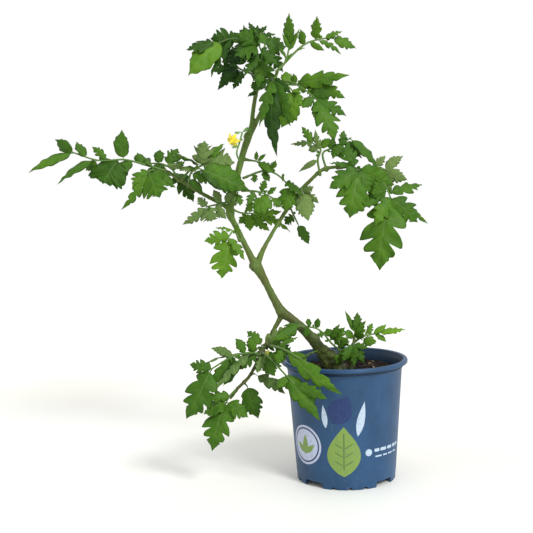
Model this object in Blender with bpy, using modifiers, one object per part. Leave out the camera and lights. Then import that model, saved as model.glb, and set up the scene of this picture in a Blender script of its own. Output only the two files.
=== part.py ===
"""A tomato plant about half a metre tall, growing in a round 13 cm nursery pot.

The origin is the centre of the pot's base on the ground, +X runs to the right of the plant's front, +Z is up.
Lengths in this file are millimetres until MM turns them into metres.
"""

import math

import bmesh
import bpy
from mathutils import Vector

MM = 0.001

# The pot: a thin moulded bucket with a rolled lip, standing on four feet.
POT_HEIGHT = 125.0
RIM_RADIUS = 65.0
NECK_RADIUS = 59.2
NECK_HEIGHT = 116.0
FOOT_RADIUS = 51.0
WALL = 1.3
LIP_DEPTH = 5.0
LIP_THICKNESS = 1.3
SHOULDER_DROP = 10.0
FLOOR_UNDERSIDE = 6.4
FLOOR_TOP = 7.9
CENTRE_PAD_RADIUS = 9.0
FOOT_THICKNESS = 2.2
NOTCH_HEIGHT = 5.8
NOTCH_WIDTH = 23.0
FOOT_COUNT = 4
NICK_RADIUS = 2.6
NICK_SPACING_DEG = 18.0
DRAIN_RADIUS = 4.0
DRAIN_CIRCLE = 36.0
DRAIN_COUNT = 8
POT_STEPS = 32

# The potting soil fills the pot to just below the lip.
SOIL_EDGE_HEIGHT = 111.5
SOIL_CROWN_HEIGHT = 113.5
GAP = 0.35

# Leaf blades and stalks.
BLADE_THICKNESS = 0.8
PETIOLE_RADIUS = 1.15
PETIOLE_TIP_RADIUS = 0.8
BLADE_OUTLINE = ((0.0, 0.24), (0.25, 1.0), (0.5, 0.88), (0.75, 0.55), (1.0, 0.08))
SMALL_BLADE_OUTLINE = ((0.0, 0.28), (0.35, 1.0), (0.7, 0.68), (1.0, 0.1))
SMALL_BLADE_WIDTH = 12.5
BLADE_ARCH = 0.07
BLADE_CUP = 0.16
# Stalks are trimmed where they leave their stem to within a span's length over this.
CLEAR_STEPS = 20

# The side of a blade that takes the light looks one of these ways.
FACING = {
    "front": Vector((0.0, -1.0, 0.35)),
    "up": Vector((0.0, -0.35, 1.0)),
    "left": Vector((-0.7, -0.6, 0.4)),
    "right": Vector((0.7, -0.6, 0.4)),
}

# Each stem is a list of centre points (x, y, z) with the stem's radius there.
STEMS = {
    "main_stem": [
        ((4, 0, 87), 9.6), ((-7, 0, 108), 9.8), ((-21, 0, 129), 7.2), ((-42, 0, 156), 5.2),
        ((-63, 0, 174), 5.4), ((-75, 0, 196), 4.0), ((-87, 0, 220), 5.8),
    ],
    "leader_stem": [
        ((-87, 0, 220), 5.8), ((-102, 0, 250), 3.2), ((-114, 0, 277), 4.2), ((-109, 2, 301), 3.4),
        ((-99, 4, 338), 3.4), ((-93, 4, 354), 3.7), ((-88, 5, 378), 2.4), ((-83, 5, 406), 2.1),
        ((-81, 5, 425), 1.7),
    ],
    "upper_stem": [
        ((-92, 3, 354), 2.5), ((-79, 4, 380), 2.2), ((-73, 5, 394), 2.2), ((-62, 8, 418), 1.9),
    ],
    "right_branch": [
        ((-88, 0, 219), 3.6), ((-83, 2, 235), 2.9), ((-75, 6, 249), 2.3), ((-61, 10, 271), 2.1),
        ((-42, 12, 297), 2.1), ((-32, 12, 307), 2.1), ((-18, 10, 319), 2.1), ((0, 8, 322), 1.7),
    ],
    "left_arm": [
        ((-114, 0, 278), 2.4), ((-140, -2, 297), 2.1), ((-160, -4, 310), 2.0), ((-175, -6, 321), 1.8),
    ],
    "lower_shoot": [
        ((-62, 0, 173), 3.0), ((-82, -10, 140), 2.1), ((-97, -16, 113), 1.9), ((-110, -20, 100), 1.8),
        ((-118, -24, 90), 1.5),
    ],
    "sucker_stem": [((11, -12, 102), 2.0), ((5, -9, 122), 1.9), ((6, -8, 134), 1.7), ((10, -8, 144), 1.4)],
}

# The leader runs on this far in the main stem's direction before it bends.
LEADER_STRAIGHT = 4.0

# Each leaf is one piece: a stalk through its points, and leaflets as
# (place along the stalk from 0 to 1, tip, width, facing).
LEAVES = {
    "leaf_crown_left": (
        [(-84, 0, 411), (-87, -8, 438), (-102, -18, 450), (-124, -26, 444)],
        [(1.0, (-148, -34, 440), 22, "up"), (0.9, (-149, -36, 413), 20, "front"),
         (0.75, (-126, -28, 418), 8, "front"), (0.6, (-111, -4, 461), 14, "up"),
         (0.45, (-101, -34, 426), 18, "up")],
    ),
    "leaf_crown_dark": (
        [(-82, 6, 414), (-90, 14, 419), (-100, 20, 424), (-106, 22, 431)],
        [(1.0, (-114, 24, 442), 14, "front"), (0.8, (-120, 20, 409), 12, "front"),
         (0.75, (-122, 22, 427), 12, "front"), (0.9, (-97, 30, 444), 14, "front")],
    ),
    "leaf_crown_middle": (
        [(-80, 2, 421), (-76, -17, 430), (-80, -31, 442)],
        [(1.0, (-100, -46, 422), 20, "up"), (0.6, (-78, -22, 413), 10, "right"),
         (0.95, (-99, -44, 450), 12, "up")],
    ),
    "leaf_crown_right": (
        [(-81, 8, 421), (-77, 16, 440), (-73, 22, 449)],
        [(1.0, (-56, 28, 452), 16, "front"), (0.8, (-60, 24, 430), 14, "front"),
         (0.5, (-68, 14, 425), 12, "front"), (0.9, (-77, 28, 460), 10, "front")],
    ),
    "leaf_crown_tuft": (
        [(-81, 10, 429), (-83, 30, 450), (-84, 40, 459)],
        [(1.0, (-88, 42, 473), 5, "front"), (1.0, (-70, 44, 468), 8, "front"),
         (0.8, (-96, 46, 465), 9, "front"), (0.8, (-70, 42, 459), 8, "front")],
    ),
    "leaf_top_right": (
        [(-61, 8, 421), (-42, 14, 440), (-29, 18, 449), (-12, 22, 453), (-3, 24, 453)],
        [(1.0, (17, 26, 444), 11, "front"), (0.86, (1, 24, 461), 7, "front"),
         (0.72, (-20, 20, 472), 9, "front"), (0.75, (1, 18, 438), 5, "front"),
         (0.52, (-36, 16, 463), 6, "front"), (0.5, (-37, 12, 445), 5, "up")],
    ),
    "leaf_top_upright": (
        [(-62, 4, 420), (-53, 6, 430), (-49, 8, 446)],
        [(1.0, (-48, 10, 475), 9, "front"), (0.6, (-39, 12, 457), 4, "front"),
         (0.5, (-58, 2, 440), 3, "front")],
    ),
    "leaf_upper_right": (
        [(-64, 0, 411), (-50, -6, 405), (-36, -10, 406), (-18, -14, 408)],
        [(1.0, (5, -20, 410), 12, "up"), (0.95, (0, -22, 394), 11, "front"),
         (0.85, (-20, -10, 416), 6, "front"), (0.75, (-25, -14, 395), 7, "front"),
         (0.5, (-43, -6, 413), 5, "front")],
    ),
    "leaf_drooping_right": (
        [(-66, -4, 406), (-50, -22, 406), (-36, -34, 397), (-24, -40, 386)],
        [(1.0, (-10, -44, 348), 17, "front"), (0.95, (-1, -44, 373), 12, "front"),
         (0.9, (-38, -42, 382), 10, "front"), (0.85, (-13, -42, 390), 9, "front"),
         (0.98, (-26, -42, 369), 8, "front")],
    ),
    "leaf_hanging_dark": (
        [(-68, 0, 406), (-68, -14, 407), (-65, -24, 398), (-67, -28, 385)],
        [(1.0, (-65, -34, 334), 15, "front"), (0.8, (-78, -30, 379), 11, "left"),
         (0.8, (-52, -32, 384), 13, "right")],
    ),
    "leaf_hanging_light": (
        [(-65, 10, 411), (-54, 20, 408), (-46, 22, 397)],
        [(1.0, (-59, 20, 366), 20, "front"), (0.9, (-38, 24, 387), 9, "front"),
         (0.7, (-55, 26, 416), 9, "front")],
    ),
    "leaf_under_crown": (
        [(-84, 0, 395), (-82, -8, 400)],
        [(1.0, (-76, -12, 410), 9, "front"), (1.0, (-87, -12, 408), 8, "front"),
         (0.7, (-92, -10, 394), 5, "front")],
    ),
    "leaf_left_far": (
        [(-178, -7, 322), (-193, -10, 327), (-217, -14, 334), (-243, -18, 334), (-269, -22, 343)],
        [(1.0, (-306, -28, 326), 19, "front"), (0.97, (-279, -20, 354), 8, "front"),
         (0.84, (-260, -16, 352), 7, "front"), (0.75, (-278, -34, 314), 15, "front"),
         (0.5, (-234, -30, 310), 30, "front"), (0.45, (-221, -8, 362), 8, "front"),
         (0.72, (-257, -10, 329), 5, "front")],
    ),
    "leaf_left_near": (
        [(-174, -2, 318), (-182, 2, 321), (-190, -20, 323), (-193, -26, 321)],
        [(1.0, (-183, -32, 300), 24, "front"), (1.0, (-220, -34, 288), 7, "front"),
         (0.9, (-209, -32, 308), 10, "front")],
    ),
    "leaf_left_fork": (
        [(-166, 0, 312), (-172, 10, 323), (-183, 14, 329), (-195, 16, 330)],
        [(1.0, (-204, 18, 338), 13, "up"), (0.55, (-167, 18, 341), 9, "front"),
         (0.3, (-155, 8, 293), 13, "front"), (0.8, (-185, 16, 339), 6, "front")],
    ),
    "leaf_arch_top": (
        [(-162, -8, 312), (-152, -14, 322), (-140, -18, 326)],
        [(1.0, (-159, -20, 335), 8, "up"), (1.0, (-137, -12, 346), 14, "front"),
         (1.0, (-111, -10, 333), 18, "front")],
    ),
    "leaf_over_stem": (
        [(-155, -8, 306), (-146, -22, 320), (-128, -28, 324)],
        [(1.0, (-98, -30, 302), 28, "front"), (0.6, (-130, -16, 318), 5, "front")],
    ),
    "leaf_below_left": (
        [(-115, -6, 289), (-125, -12, 287), (-137, -14, 285)],
        [(1.0, (-158, -18, 271), 7, "front"), (0.95, (-140, -12, 293), 8, "front"),
         (0.85, (-132, -16, 274), 13, "front"), (0.4, (-128, -14, 299), 6, "front")],
    ),
    "leaf_front_small": (
        [(-108, -6, 287), (-105, -14, 299)],
        [(1.0, (-129, -18, 309), 10, "front"), (0.9, (-103, -18, 286), 8, "front")],
    ),
    "leaf_drooping_light": (
        [(-105, -5, 250), (-110, -12, 260), (-116, -16, 253)],
        [(1.0, (-123, -20, 214), 22, "front"), (0.85, (-136, -16, 252), 10, "front"),
         (0.5, (-106, -14, 263), 7, "front"), (0.98, (-103, -20, 235), 8, "front")],
    ),
    "leaf_sprig": (
        [(-95, 4, 331), (-84, 0, 329)],
        [(1.0, (-76, -2, 336), 4, "front"), (0.8, (-85, 0, 339), 4, "front")],
    ),
    "leaf_arch_right": (
        [(-98, 6, 313), (-80, 10, 319), (-66, 6, 316), (-51, 2, 302)],
        [(1.0, (-59, -4, 281), 17, "front"), (0.6, (-82, 8, 326), 12, "front"),
         (0.75, (-56, 4, 311), 4, "front"), (0.5, (-66, 10, 327), 8, "front")],
    ),
    "leaf_mid_centre": (
        [(-100, 4, 300), (-83, -2, 298), (-70, -6, 292)],
        [(1.0, (-89, -10, 282), 14, "front"), (0.6, (-78, -4, 308), 5, "front"),
         (1.0, (-66, -8, 286), 6, "front"), (0.4, (-92, -6, 289), 6, "front")],
    ),
    "leaf_low_centre": (
        [(-111, 2, 281), (-103, 8, 277), (-92, 12, 276)],
        [(1.0, (-55, 24, 257), 9, "front"), (1.0, (-66, 14, 277), 7, "front"),
         (0.9, (-93, 14, 286), 8, "front"), (0.8, (-94, 12, 262), 9, "front"),
         (0.75, (-103, 14, 270), 5, "front")],
    ),
    "leaf_behind_branch": (
        [(-52, 10, 281), (-49, 18, 274), (-44, 22, 263)],
        [(1.0, (-36, 24, 247), 9, "front"), (0.5, (-55, 22, 269), 9, "front")],
    ),
    "leaf_branch_fan": (
        [(-41, 10, 299), (-39, 2, 297)],
        [(1.0, (-35, -6, 274), 20, "front"), (0.9, (-22, -2, 290), 7, "front")],
    ),
    "leaf_right_tall": (
        [(-21, 8, 315), (-23, 4, 329), (-20, 2, 340), (-28, 0, 346)],
        [(1.0, (-45, -2, 347), 7, "front"), (1.0, (-35, -2, 359), 7, "front"),
         (0.75, (-19, 0, 354), 5, "front"), (0.4, (-40, 0, 319), 4, "front"),
         (0.8, (-33, 4, 341), 4, "front")],
    ),
    "leaf_right_back": (
        [(-14, 10, 319), (-17, 14, 336), (-3, 14, 342), (12, 12, 351)],
        [(1.0, (34, 4, 324), 15, "right"), (0.6, (5, 12, 329), 4, "front"),
         (0.85, (19, 20, 336), 10, "front"), (0.75, (5, 18, 356), 6, "front"),
         (0.8, (-7, 6, 333), 9, "front")],
    ),
    "leaf_big_facing": (
        [(-2, 6, 320), (11, -6, 321), (17, -14, 318)],
        [(1.0, (5, -26, 274), 27, "front"), (0.98, (-10, -22, 303), 13, "front"),
         (0.98, (25, -20, 296), 11, "front"), (0.8, (4, -8, 336), 12, "up"),
         (0.95, (54, -10, 306), 15, "front")],
    ),
    "leaf_right_pale": (
        [(2, 12, 322), (28, 24, 318), (41, 26, 320), (49, 26, 317)],
        [(1.0, (64, 26, 328), 7, "front"), (1.0, (66, 24, 308), 12, "front"),
         (0.85, (54, 20, 296), 9, "front")],
    ),
    "leaf_biggest": (
        [(4, 6, 316), (22, 3, 311), (41, -8, 305), (49, -16, 288)],
        [(1.0, (34, -24, 218), 27, "front"), (1.0, (72, -20, 269), 17, "front"),
         (0.97, (15, -22, 267), 10, "front"), (0.85, (21, -14, 282), 9, "front"),
         (0.82, (29, -20, 296), 10, "front"), (0.9, (77, -6, 302), 11, "front"),
         (0.98, (84, -2, 265), 4, "front"), (1.0, (13, -26, 247), 12, "front")],
    ),
    "leaf_bottom_arch": (
        [(-85, -14, 132), (-97, -30, 138), (-115, -40, 136), (-136, -46, 125)],
        [(1.0, (-160, -50, 81), 25, "front"), (0.97, (-152, -46, 131), 10, "front"),
         (0.75, (-130, -42, 140), 8, "up"), (0.55, (-123, -40, 109), 17, "front"),
         (0.4, (-110, -34, 149), 9, "front")],
    ),
    "leaf_bottom_top": (
        [(-81, -10, 143), (-85, -2, 140)],
        [(1.0, (-96, 4, 151), 13, "front"), (0.9, (-85, 6, 121), 8, "front")],
    ),
    "leaf_bottom_low": (
        [(-111, -22, 100), (-118, -32, 95), (-122, -36, 89)],
        [(1.0, (-135, -40, 43), 20, "front"), (1.0, (-102, -38, 76), 13, "front"),
         (1.0, (-141, -40, 78), 11, "front"), (0.6, (-142, -34, 91), 9, "front")],
    ),
    "leaf_bottom_dark": (
        [(-104, -16, 105), (-101, -12, 100)],
        [(1.0, (-94, -10, 72), 19, "front")],
    ),
    "leaf_bottom_pale": (
        [(-96, -14, 113), (-93, -8, 112)],
        [(1.0, (-63, -6, 92), 13, "front")],
    ),
    "leaf_bottom_round": (
        [(-86, -12, 131), (-83, -18, 132)],
        [(1.0, (-74, -22, 118), 13, "front")],
    ),
    "leaf_yellow": (
        [(-87, -12, 128), (-80, -8, 132)],
        [(1.0, (-74, -6, 140), 6, "front")],
    ),
    "leaf_over_pot": (
        [(-78, -10, 142), (-67, -50, 146), (-56, -66, 143), (-40, -74, 134)],
        [(1.0, (-12, -80, 107), 19, "front"), (0.9, (-28, -74, 141), 13, "front"),
         (0.6, (-68, -56, 137), 8, "front")],
    ),
    "leaf_over_pot_low": (
        [(-85, -12, 135), (-77, -40, 134), (-63, -62, 122), (-50, -70, 110)],
        [(1.0, (-31, -76, 80), 19, "front"), (0.95, (-29, -76, 102), 12, "front"),
         (0.8, (-67, -68, 112), 8, "front")],
    ),
    "leaf_sucker_left": (
        [(4, -10, 128), (-12, -14, 141), (-27, -18, 158), (-48, -22, 163)],
        [(1.0, (-71, -26, 152), 13, "front"), (0.85, (-42, -24, 149), 9, "front"),
         (0.95, (-68, -18, 160), 5, "front"), (0.3, (-1, -16, 157), 9, "front"),
         (0.5, (-16, -14, 156), 7, "front")],
    ),
    "leaf_sucker_up": (
        [(10, -7, 146), (11, -6, 152)],
        [(1.0, (14, -5, 167), 7, "front"), (0.8, (4, -4, 167), 4, "front")],
    ),
    "leaf_sucker_right": (
        [(12, -5, 143), (21, -1, 147), (35, 3, 149)],
        [(1.0, (59, 6, 151), 5, "front"), (0.55, (26, -2, 141), 9, "front"),
         (0.6, (30, 2, 157), 6, "front")],
    ),
    "leaf_sucker_low": (
        [(9, -12, 141), (8, -18, 141)],
        [(1.0, (2, -24, 130), 9, "front"), (1.0, (13, -22, 129), 7, "front")],
    ),
}

# The flower truss: its stalk, its buds and the open flower.
TRUSS_STALK = [(-103, 2, 330), (-105, -10, 338), (-102, -11, 348), (-99, -10, 358)]
TRUSS_RADIUS = 0.9
BUDS = [((-95, -11, 361), 1.9), ((-104, -13, 358), 1.6), ((-100, -15, 351), 1.5), ((-107, -14, 344), 1.7)]
FLOWER_CENTRE = (-109, -17, 350)
FLOWER_AXIS = (-0.45, -0.8, -0.4)
PETAL_LENGTH = 8.0
SEPAL_LENGTH = 6.0
FLOWER_SHEET = 0.6
CONE_LENGTH = 6.0
CONE_RADIUS = 1.5


def clear_scene():
    for obj in list(bpy.data.objects):
        bpy.data.objects.remove(obj, do_unlink=True)


def new_collection(name, helper=False):
    collection = bpy.data.collections.new(name)
    bpy.context.scene.collection.children.link(collection)
    collection.hide_render = helper
    return collection


def make_material(name, colour, roughness):
    material = bpy.data.materials.new(name)
    material.use_nodes = True
    shader = material.node_tree.nodes["Principled BSDF"]
    shader.inputs["Base Color"].default_value = (*colour, 1.0)
    shader.inputs["Roughness"].default_value = roughness
    shader.inputs["Metallic"].default_value = 0.0
    return material


def add_mesh(name, mesh, collection, material=None):
    obj = bpy.data.objects.new(name, mesh)
    collection.objects.link(obj)
    if material:
        mesh.materials.append(material)
    return obj


def make_helper(obj):
    obj.hide_render = True
    obj.display_type = "WIRE"


def smooth_path(points, steps):
    """Points on a Catmull-Rom curve through the given ones, with this many steps in each span."""
    ends = [2 * points[0] - points[1]] + list(points) + [2 * points[-1] - points[-2]]
    path = []
    for i in range(1, len(ends) - 2):
        a, b, c, d = ends[i - 1 : i + 3]
        for step in range(steps):
            t = step / steps
            path.append(
                0.5 * (2 * b + (c - a) * t + (2 * a - 5 * b + 4 * c - d) * t * t
                       + (3 * b - a - 3 * c + d) * t * t * t)
            )
    path.append(points[-1])
    return path


def stem_path(stem):
    """The stem's centre points and radii as 4-vectors on one smooth curve."""
    return smooth_path([Vector((*point, radius)) for point, radius in stem], 2)


def clear_of(path, neighbours):
    """The path from where its flat end leaves the surface of the stems that it springs from."""
    fine = []
    for a, b in zip(path, path[1:]):
        direction = (b.xyz - a.xyz).normalized()
        fine += [(a.lerp(b, step / CLEAR_STEPS), direction) for step in range(CLEAR_STEPS)]
    last = -1
    for index, (point, direction) in enumerate(fine):
        for neighbour in neighbours:
            for a, b in zip(neighbour, neighbour[1:]):
                span = b.xyz - a.xyz
                share = (point.xyz - a.xyz).dot(span) / span.length_squared
                near = a.lerp(b, min(max(share, 0.0), 1.0))
                away = point.xyz - near.xyz
                tilt = direction.cross(away.normalized()).length
                if away.length < near.w + GAP + point.w * tilt:
                    last = index
    if last < 0:
        return path
    return [fine[last + 1][0]] + path[last // CLEAR_STEPS + 1 :]


def widened(path):
    """The path with the gap added to its radius, and its last end run on past the gap."""
    onward = (path[-1].xyz - path[-2].xyz).normalized()
    wide = [Vector((*point.xyz, point.w + GAP)) for point in path]
    return wide[:-1] + [Vector((*(path[-1].xyz + onward * 2 * GAP), wide[-1].w))]


def tube(name, path, collection, material=None, sides=8):
    """A closed tube along 4-vectors (x, y, z, radius)."""
    curve = bpy.data.curves.new(name, "CURVE")
    curve.dimensions = "3D"
    curve.bevel_depth = MM
    curve.bevel_resolution = (sides - 4) // 2
    curve.use_fill_caps = True
    spline = curve.splines.new("POLY")
    spline.points.add(len(path) - 1)
    for spot, point in zip(spline.points, path):
        spot.co = (*(point.xyz * MM), 1.0)
        spot.radius = point.w
    guide = bpy.data.objects.new(name + "_curve", curve)
    collection.objects.link(guide)
    bpy.context.view_layer.update()
    graph = bpy.context.evaluated_depsgraph_get()
    mesh = bpy.data.meshes.new_from_object(guide.evaluated_get(graph))
    bpy.data.objects.remove(guide, do_unlink=True)
    shape = bmesh.new()
    shape.from_mesh(mesh)
    bmesh.ops.remove_doubles(shape, verts=shape.verts, dist=0.00001)
    bmesh.ops.recalc_face_normals(shape, faces=shape.faces)
    shape.to_mesh(mesh)
    shape.free()
    mesh.name = name
    mesh.shade_smooth()
    return add_mesh(name, mesh, collection, material)


def turned(name, profile, collection, material):
    """A solid turned round Z from a closed profile that runs down its outer side."""
    mesh = bpy.data.meshes.new(name)
    edges = [(i, i + 1) for i in range(len(profile) - 1)]
    if profile[0][0] > 0:
        edges.append((len(profile) - 1, 0))
    mesh.from_pydata([(r * MM, 0.0, z * MM) for r, z in profile], edges, [])
    obj = add_mesh(name, mesh, collection, material)
    screw = obj.modifiers.new("Turn", "SCREW")
    screw.axis = "Z"
    screw.steps = POT_STEPS
    screw.render_steps = POT_STEPS
    screw.use_merge_vertices = True
    screw.merge_threshold = 0.00001
    return obj


def subtract(obj, helpers):
    cut = obj.modifiers.new("Cut", "BOOLEAN")
    cut.operation = "DIFFERENCE"
    cut.operand_type = "COLLECTION"
    cut.collection = helpers
    cut.solver = "EXACT"


def unite(obj, helpers):
    join = obj.modifiers.new("Join", "BOOLEAN")
    join.operation = "UNION"
    join.operand_type = "COLLECTION"
    join.collection = helpers
    join.solver = "EXACT"
    join.use_self = True


def box_cutter(name, size, place, turn, collection):
    mesh = bpy.data.meshes.new(name)
    shape = bmesh.new()
    bmesh.ops.create_cube(shape, size=1.0)
    bmesh.ops.scale(shape, vec=[side * MM for side in size], verts=shape.verts)
    shape.to_mesh(mesh)
    shape.free()
    obj = add_mesh(name, mesh, collection)
    obj.location = Vector(place) * MM
    obj.rotation_euler.z = turn
    make_helper(obj)


def rod_cutter(name, radius, length, place, rotation, collection):
    mesh = bpy.data.meshes.new(name)
    shape = bmesh.new()
    bmesh.ops.create_cone(
        shape, cap_ends=True, segments=12, radius1=radius * MM, radius2=radius * MM, depth=length * MM
    )
    shape.to_mesh(mesh)
    shape.free()
    obj = add_mesh(name, mesh, collection)
    obj.location = Vector(place) * MM
    obj.rotation_euler = rotation
    make_helper(obj)


def wall_radius(height):
    """The outer radius of the tapered wall at this height."""
    return FOOT_RADIUS + (NECK_RADIUS - FOOT_RADIUS) * height / NECK_HEIGHT


def make_pot(collection):
    plastic = make_material("recycled_polypropylene", (0.045, 0.11, 0.22), 0.45)
    top = POT_HEIGHT
    neck = NECK_RADIUS
    lip_inside = RIM_RADIUS - LIP_THICKNESS
    shoulder = top - SHOULDER_DROP
    foot_inside = FOOT_RADIUS - FOOT_THICKNESS
    profile = [
        (RIM_RADIUS - 2.0, top), (RIM_RADIUS - 0.5, top - 0.7), (RIM_RADIUS, top - 2.2),
        (RIM_RADIUS, top - LIP_DEPTH), (lip_inside, top - LIP_DEPTH), (lip_inside, top - 2.6),
        (lip_inside - 1.3, top - 1.6), (neck + 1.4, top - 3.4), (neck + 0.5, top - 7.0),
        (neck + 0.9, top - 8.6), (wall_radius(shoulder), shoulder),
        (wall_radius(8.0), 8.0), (FOOT_RADIUS, 5.0), (FOOT_RADIUS - 0.3, 0.0), (foot_inside, 0.0),
        (foot_inside, FLOOR_UNDERSIDE), (CENTRE_PAD_RADIUS + 0.6, FLOOR_UNDERSIDE),
        (CENTRE_PAD_RADIUS, 0.0), (0.0, 0.0), (0.0, FLOOR_TOP), (foot_inside - 0.4, FLOOR_TOP),
        (wall_radius(8.5) - WALL, 8.5), (wall_radius(shoulder) - WALL, shoulder),
        (neck - 0.6, top - 6.0), (neck + 0.6, top - 2.2), (RIM_RADIUS - 4.0, top - 0.4),
    ]
    # The profile is opened at the axis, so that the pad and the floor close there.
    axis = profile.index((0.0, FLOOR_TOP))
    profile = profile[axis:] + profile[:axis]
    pot = turned("pot", profile, collection, plastic)
    cutters = new_collection("pot_cutters", helper=True)
    for foot in range(FOOT_COUNT):
        gap_turn = math.radians(45.0 + 90.0 * foot)
        place = (FOOT_RADIUS * math.cos(gap_turn), FOOT_RADIUS * math.sin(gap_turn), NOTCH_HEIGHT / 2 - 1.0)
        size = (8.0, NOTCH_WIDTH, NOTCH_HEIGHT + 2.0)
        box_cutter(f"notch_{foot}", size, place, gap_turn, cutters)
        for nick in (-1, 0, 1):
            turn = math.radians(90.0 * foot + NICK_SPACING_DEG * nick)
            place = (FOOT_RADIUS * math.cos(turn), FOOT_RADIUS * math.sin(turn), 0.0)
            rotation = (0.0, math.radians(90.0), turn)
            rod_cutter(f"nick_{foot}_{nick + 1}", NICK_RADIUS, 8.0, place, rotation, cutters)
    for hole in range(DRAIN_COUNT):
        turn = 2 * math.pi * (hole + 0.5) / DRAIN_COUNT
        place = (DRAIN_CIRCLE * math.cos(turn), DRAIN_CIRCLE * math.sin(turn), FLOOR_TOP - 1.0)
        rod_cutter(f"drain_{hole}", DRAIN_RADIUS, 6.0, place, (0.0, 0.0, 0.0), cutters)
    subtract(pot, cutters)


def make_soil(collection, buried):
    humus = make_material("potting_soil", (0.02, 0.014, 0.01), 0.95)
    floor = FLOOR_TOP + GAP
    profile = [
        (0.0, SOIL_CROWN_HEIGHT), (wall_radius(SOIL_EDGE_HEIGHT) - 14.0, SOIL_CROWN_HEIGHT - 0.6),
        (wall_radius(SOIL_EDGE_HEIGHT) - WALL - GAP, SOIL_EDGE_HEIGHT),
        (wall_radius(9.0) - WALL - GAP, 9.0), (FOOT_RADIUS - FOOT_THICKNESS - 0.8, floor), (0.0, floor),
    ]
    soil = turned("potting_soil", profile, collection, humus)
    cutters = new_collection("soil_cutters", helper=True)
    for number, path in enumerate(buried):
        make_helper(tube(f"root_hole_{number}", widened(path), cutters))
    subtract(soil, cutters)


def make_stems(collection):
    """Each stem as a tube that ends against the one it springs from, and every stem's path."""
    green = make_material("stem_skin", (0.12, 0.2, 0.05), 0.55)
    paths = {name: stem_path(stem) for name, stem in STEMS.items()}
    # The leader stands on the main stem's flat end, so its first step runs on straight.
    below, top = paths["main_stem"][-2:]
    straight = (top.xyz - below.xyz).normalized()
    leader = paths["leader_stem"]
    foot = Vector((*(top.xyz + straight * GAP), top.w))
    knee = Vector((*(top.xyz + straight * LEADER_STRAIGHT), leader[0].w))
    paths["leader_stem"] = [foot, knee] + leader[1:]
    parents = {
        "upper_stem": ["leader_stem"],
        "right_branch": ["main_stem", "leader_stem"],
        "left_arm": ["leader_stem"],
        "lower_shoot": ["main_stem"],
    }
    for name, path in paths.items():
        stem = tube(name, path, collection, green, 8)
        if name in parents:
            cutters = new_collection(name + "_cutters", helper=True)
            for parent in parents[name]:
                make_helper(tube(f"{name}_seat_{parent}", widened(paths[parent]), cutters))
            subtract(stem, cutters)
    return paths


def blade(name, base, tip, width, facing, collection):
    """One leaflet: a thin arched sheet from its base on the stalk to its tip."""
    along = tip - base
    side = FACING[facing].cross(along).normalized()
    normal = along.cross(side).normalized()
    outline = SMALL_BLADE_OUTLINE if width < SMALL_BLADE_WIDTH else BLADE_OUTLINE
    mesh = bpy.data.meshes.new(name)
    shape = bmesh.new()
    bmesh.ops.create_grid(shape, x_segments=len(outline) - 1, y_segments=2, size=1.0)
    for vert in shape.verts:
        station = round((vert.co.x + 1) / 2 * (len(outline) - 1))
        share, wide = outline[station]
        across = vert.co.y * wide * width / 2
        lift = BLADE_ARCH * along.length * 4 * share * (1 - share) - BLADE_CUP * abs(across)
        vert.co = (base + along * share + side * across + normal * lift) * MM
    bmesh.ops.recalc_face_normals(shape, faces=shape.faces)
    shape.to_mesh(mesh)
    shape.free()
    obj = add_mesh(name, mesh, collection)
    skin = obj.modifiers.new("Thickness", "SOLIDIFY")
    skin.thickness = BLADE_THICKNESS * MM
    skin.offset = 0.0
    make_helper(obj)


def along_path(path, share):
    """The point at this share of the path's length."""
    lengths = [(b.xyz - a.xyz).length for a, b in zip(path, path[1:])]
    left = share * sum(lengths)
    for a, b, length in zip(path, path[1:], lengths):
        if left <= length:
            return a.lerp(b, left / length).xyz
        left -= length
    return path[-1].xyz


def make_leaf(name, stalk, leaflets, stems, collection, material):
    count = len(stalk) - 1
    points = []
    for index, point in enumerate(stalk):
        radius = PETIOLE_RADIUS + (PETIOLE_TIP_RADIUS - PETIOLE_RADIUS) * index / count
        points.append(Vector((*point, radius)))
    whole = smooth_path(points, 2)
    leaf = tube(name, clear_of(whole, stems), collection, material, 4)
    blades = new_collection(name + "_blades", helper=True)
    for number, (share, tip, width, facing) in enumerate(leaflets):
        base = along_path(whole, min(share, 0.97))
        blade(f"{name}_{number}", base, Vector(tip), width, facing, blades)
    unite(leaf, blades)


def star(name, points, inner, outer, collection, material, offset):
    """A flat star-shaped sheet across the flower's axis, this far along it."""
    curve = bpy.data.curves.new(name, "CURVE")
    curve.dimensions = "2D"
    curve.fill_mode = "BOTH"
    curve.extrude = FLOWER_SHEET / 2 * MM
    spline = curve.splines.new("POLY")
    spline.points.add(2 * points - 1)
    spline.use_cyclic_u = True
    for index, spot in enumerate(spline.points):
        radius = (outer if index % 2 == 0 else inner) * MM
        turn = math.pi * index / points
        spot.co = (radius * math.cos(turn), radius * math.sin(turn), 0.0, 1.0)
    obj = bpy.data.objects.new(name, curve)
    curve.materials.append(material)
    collection.objects.link(obj)
    obj.rotation_euler = Vector(FLOWER_AXIS).to_track_quat("Z", "Y").to_euler()
    obj.location = (Vector(FLOWER_CENTRE) + Vector(FLOWER_AXIS).normalized() * offset) * MM
    return obj


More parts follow.
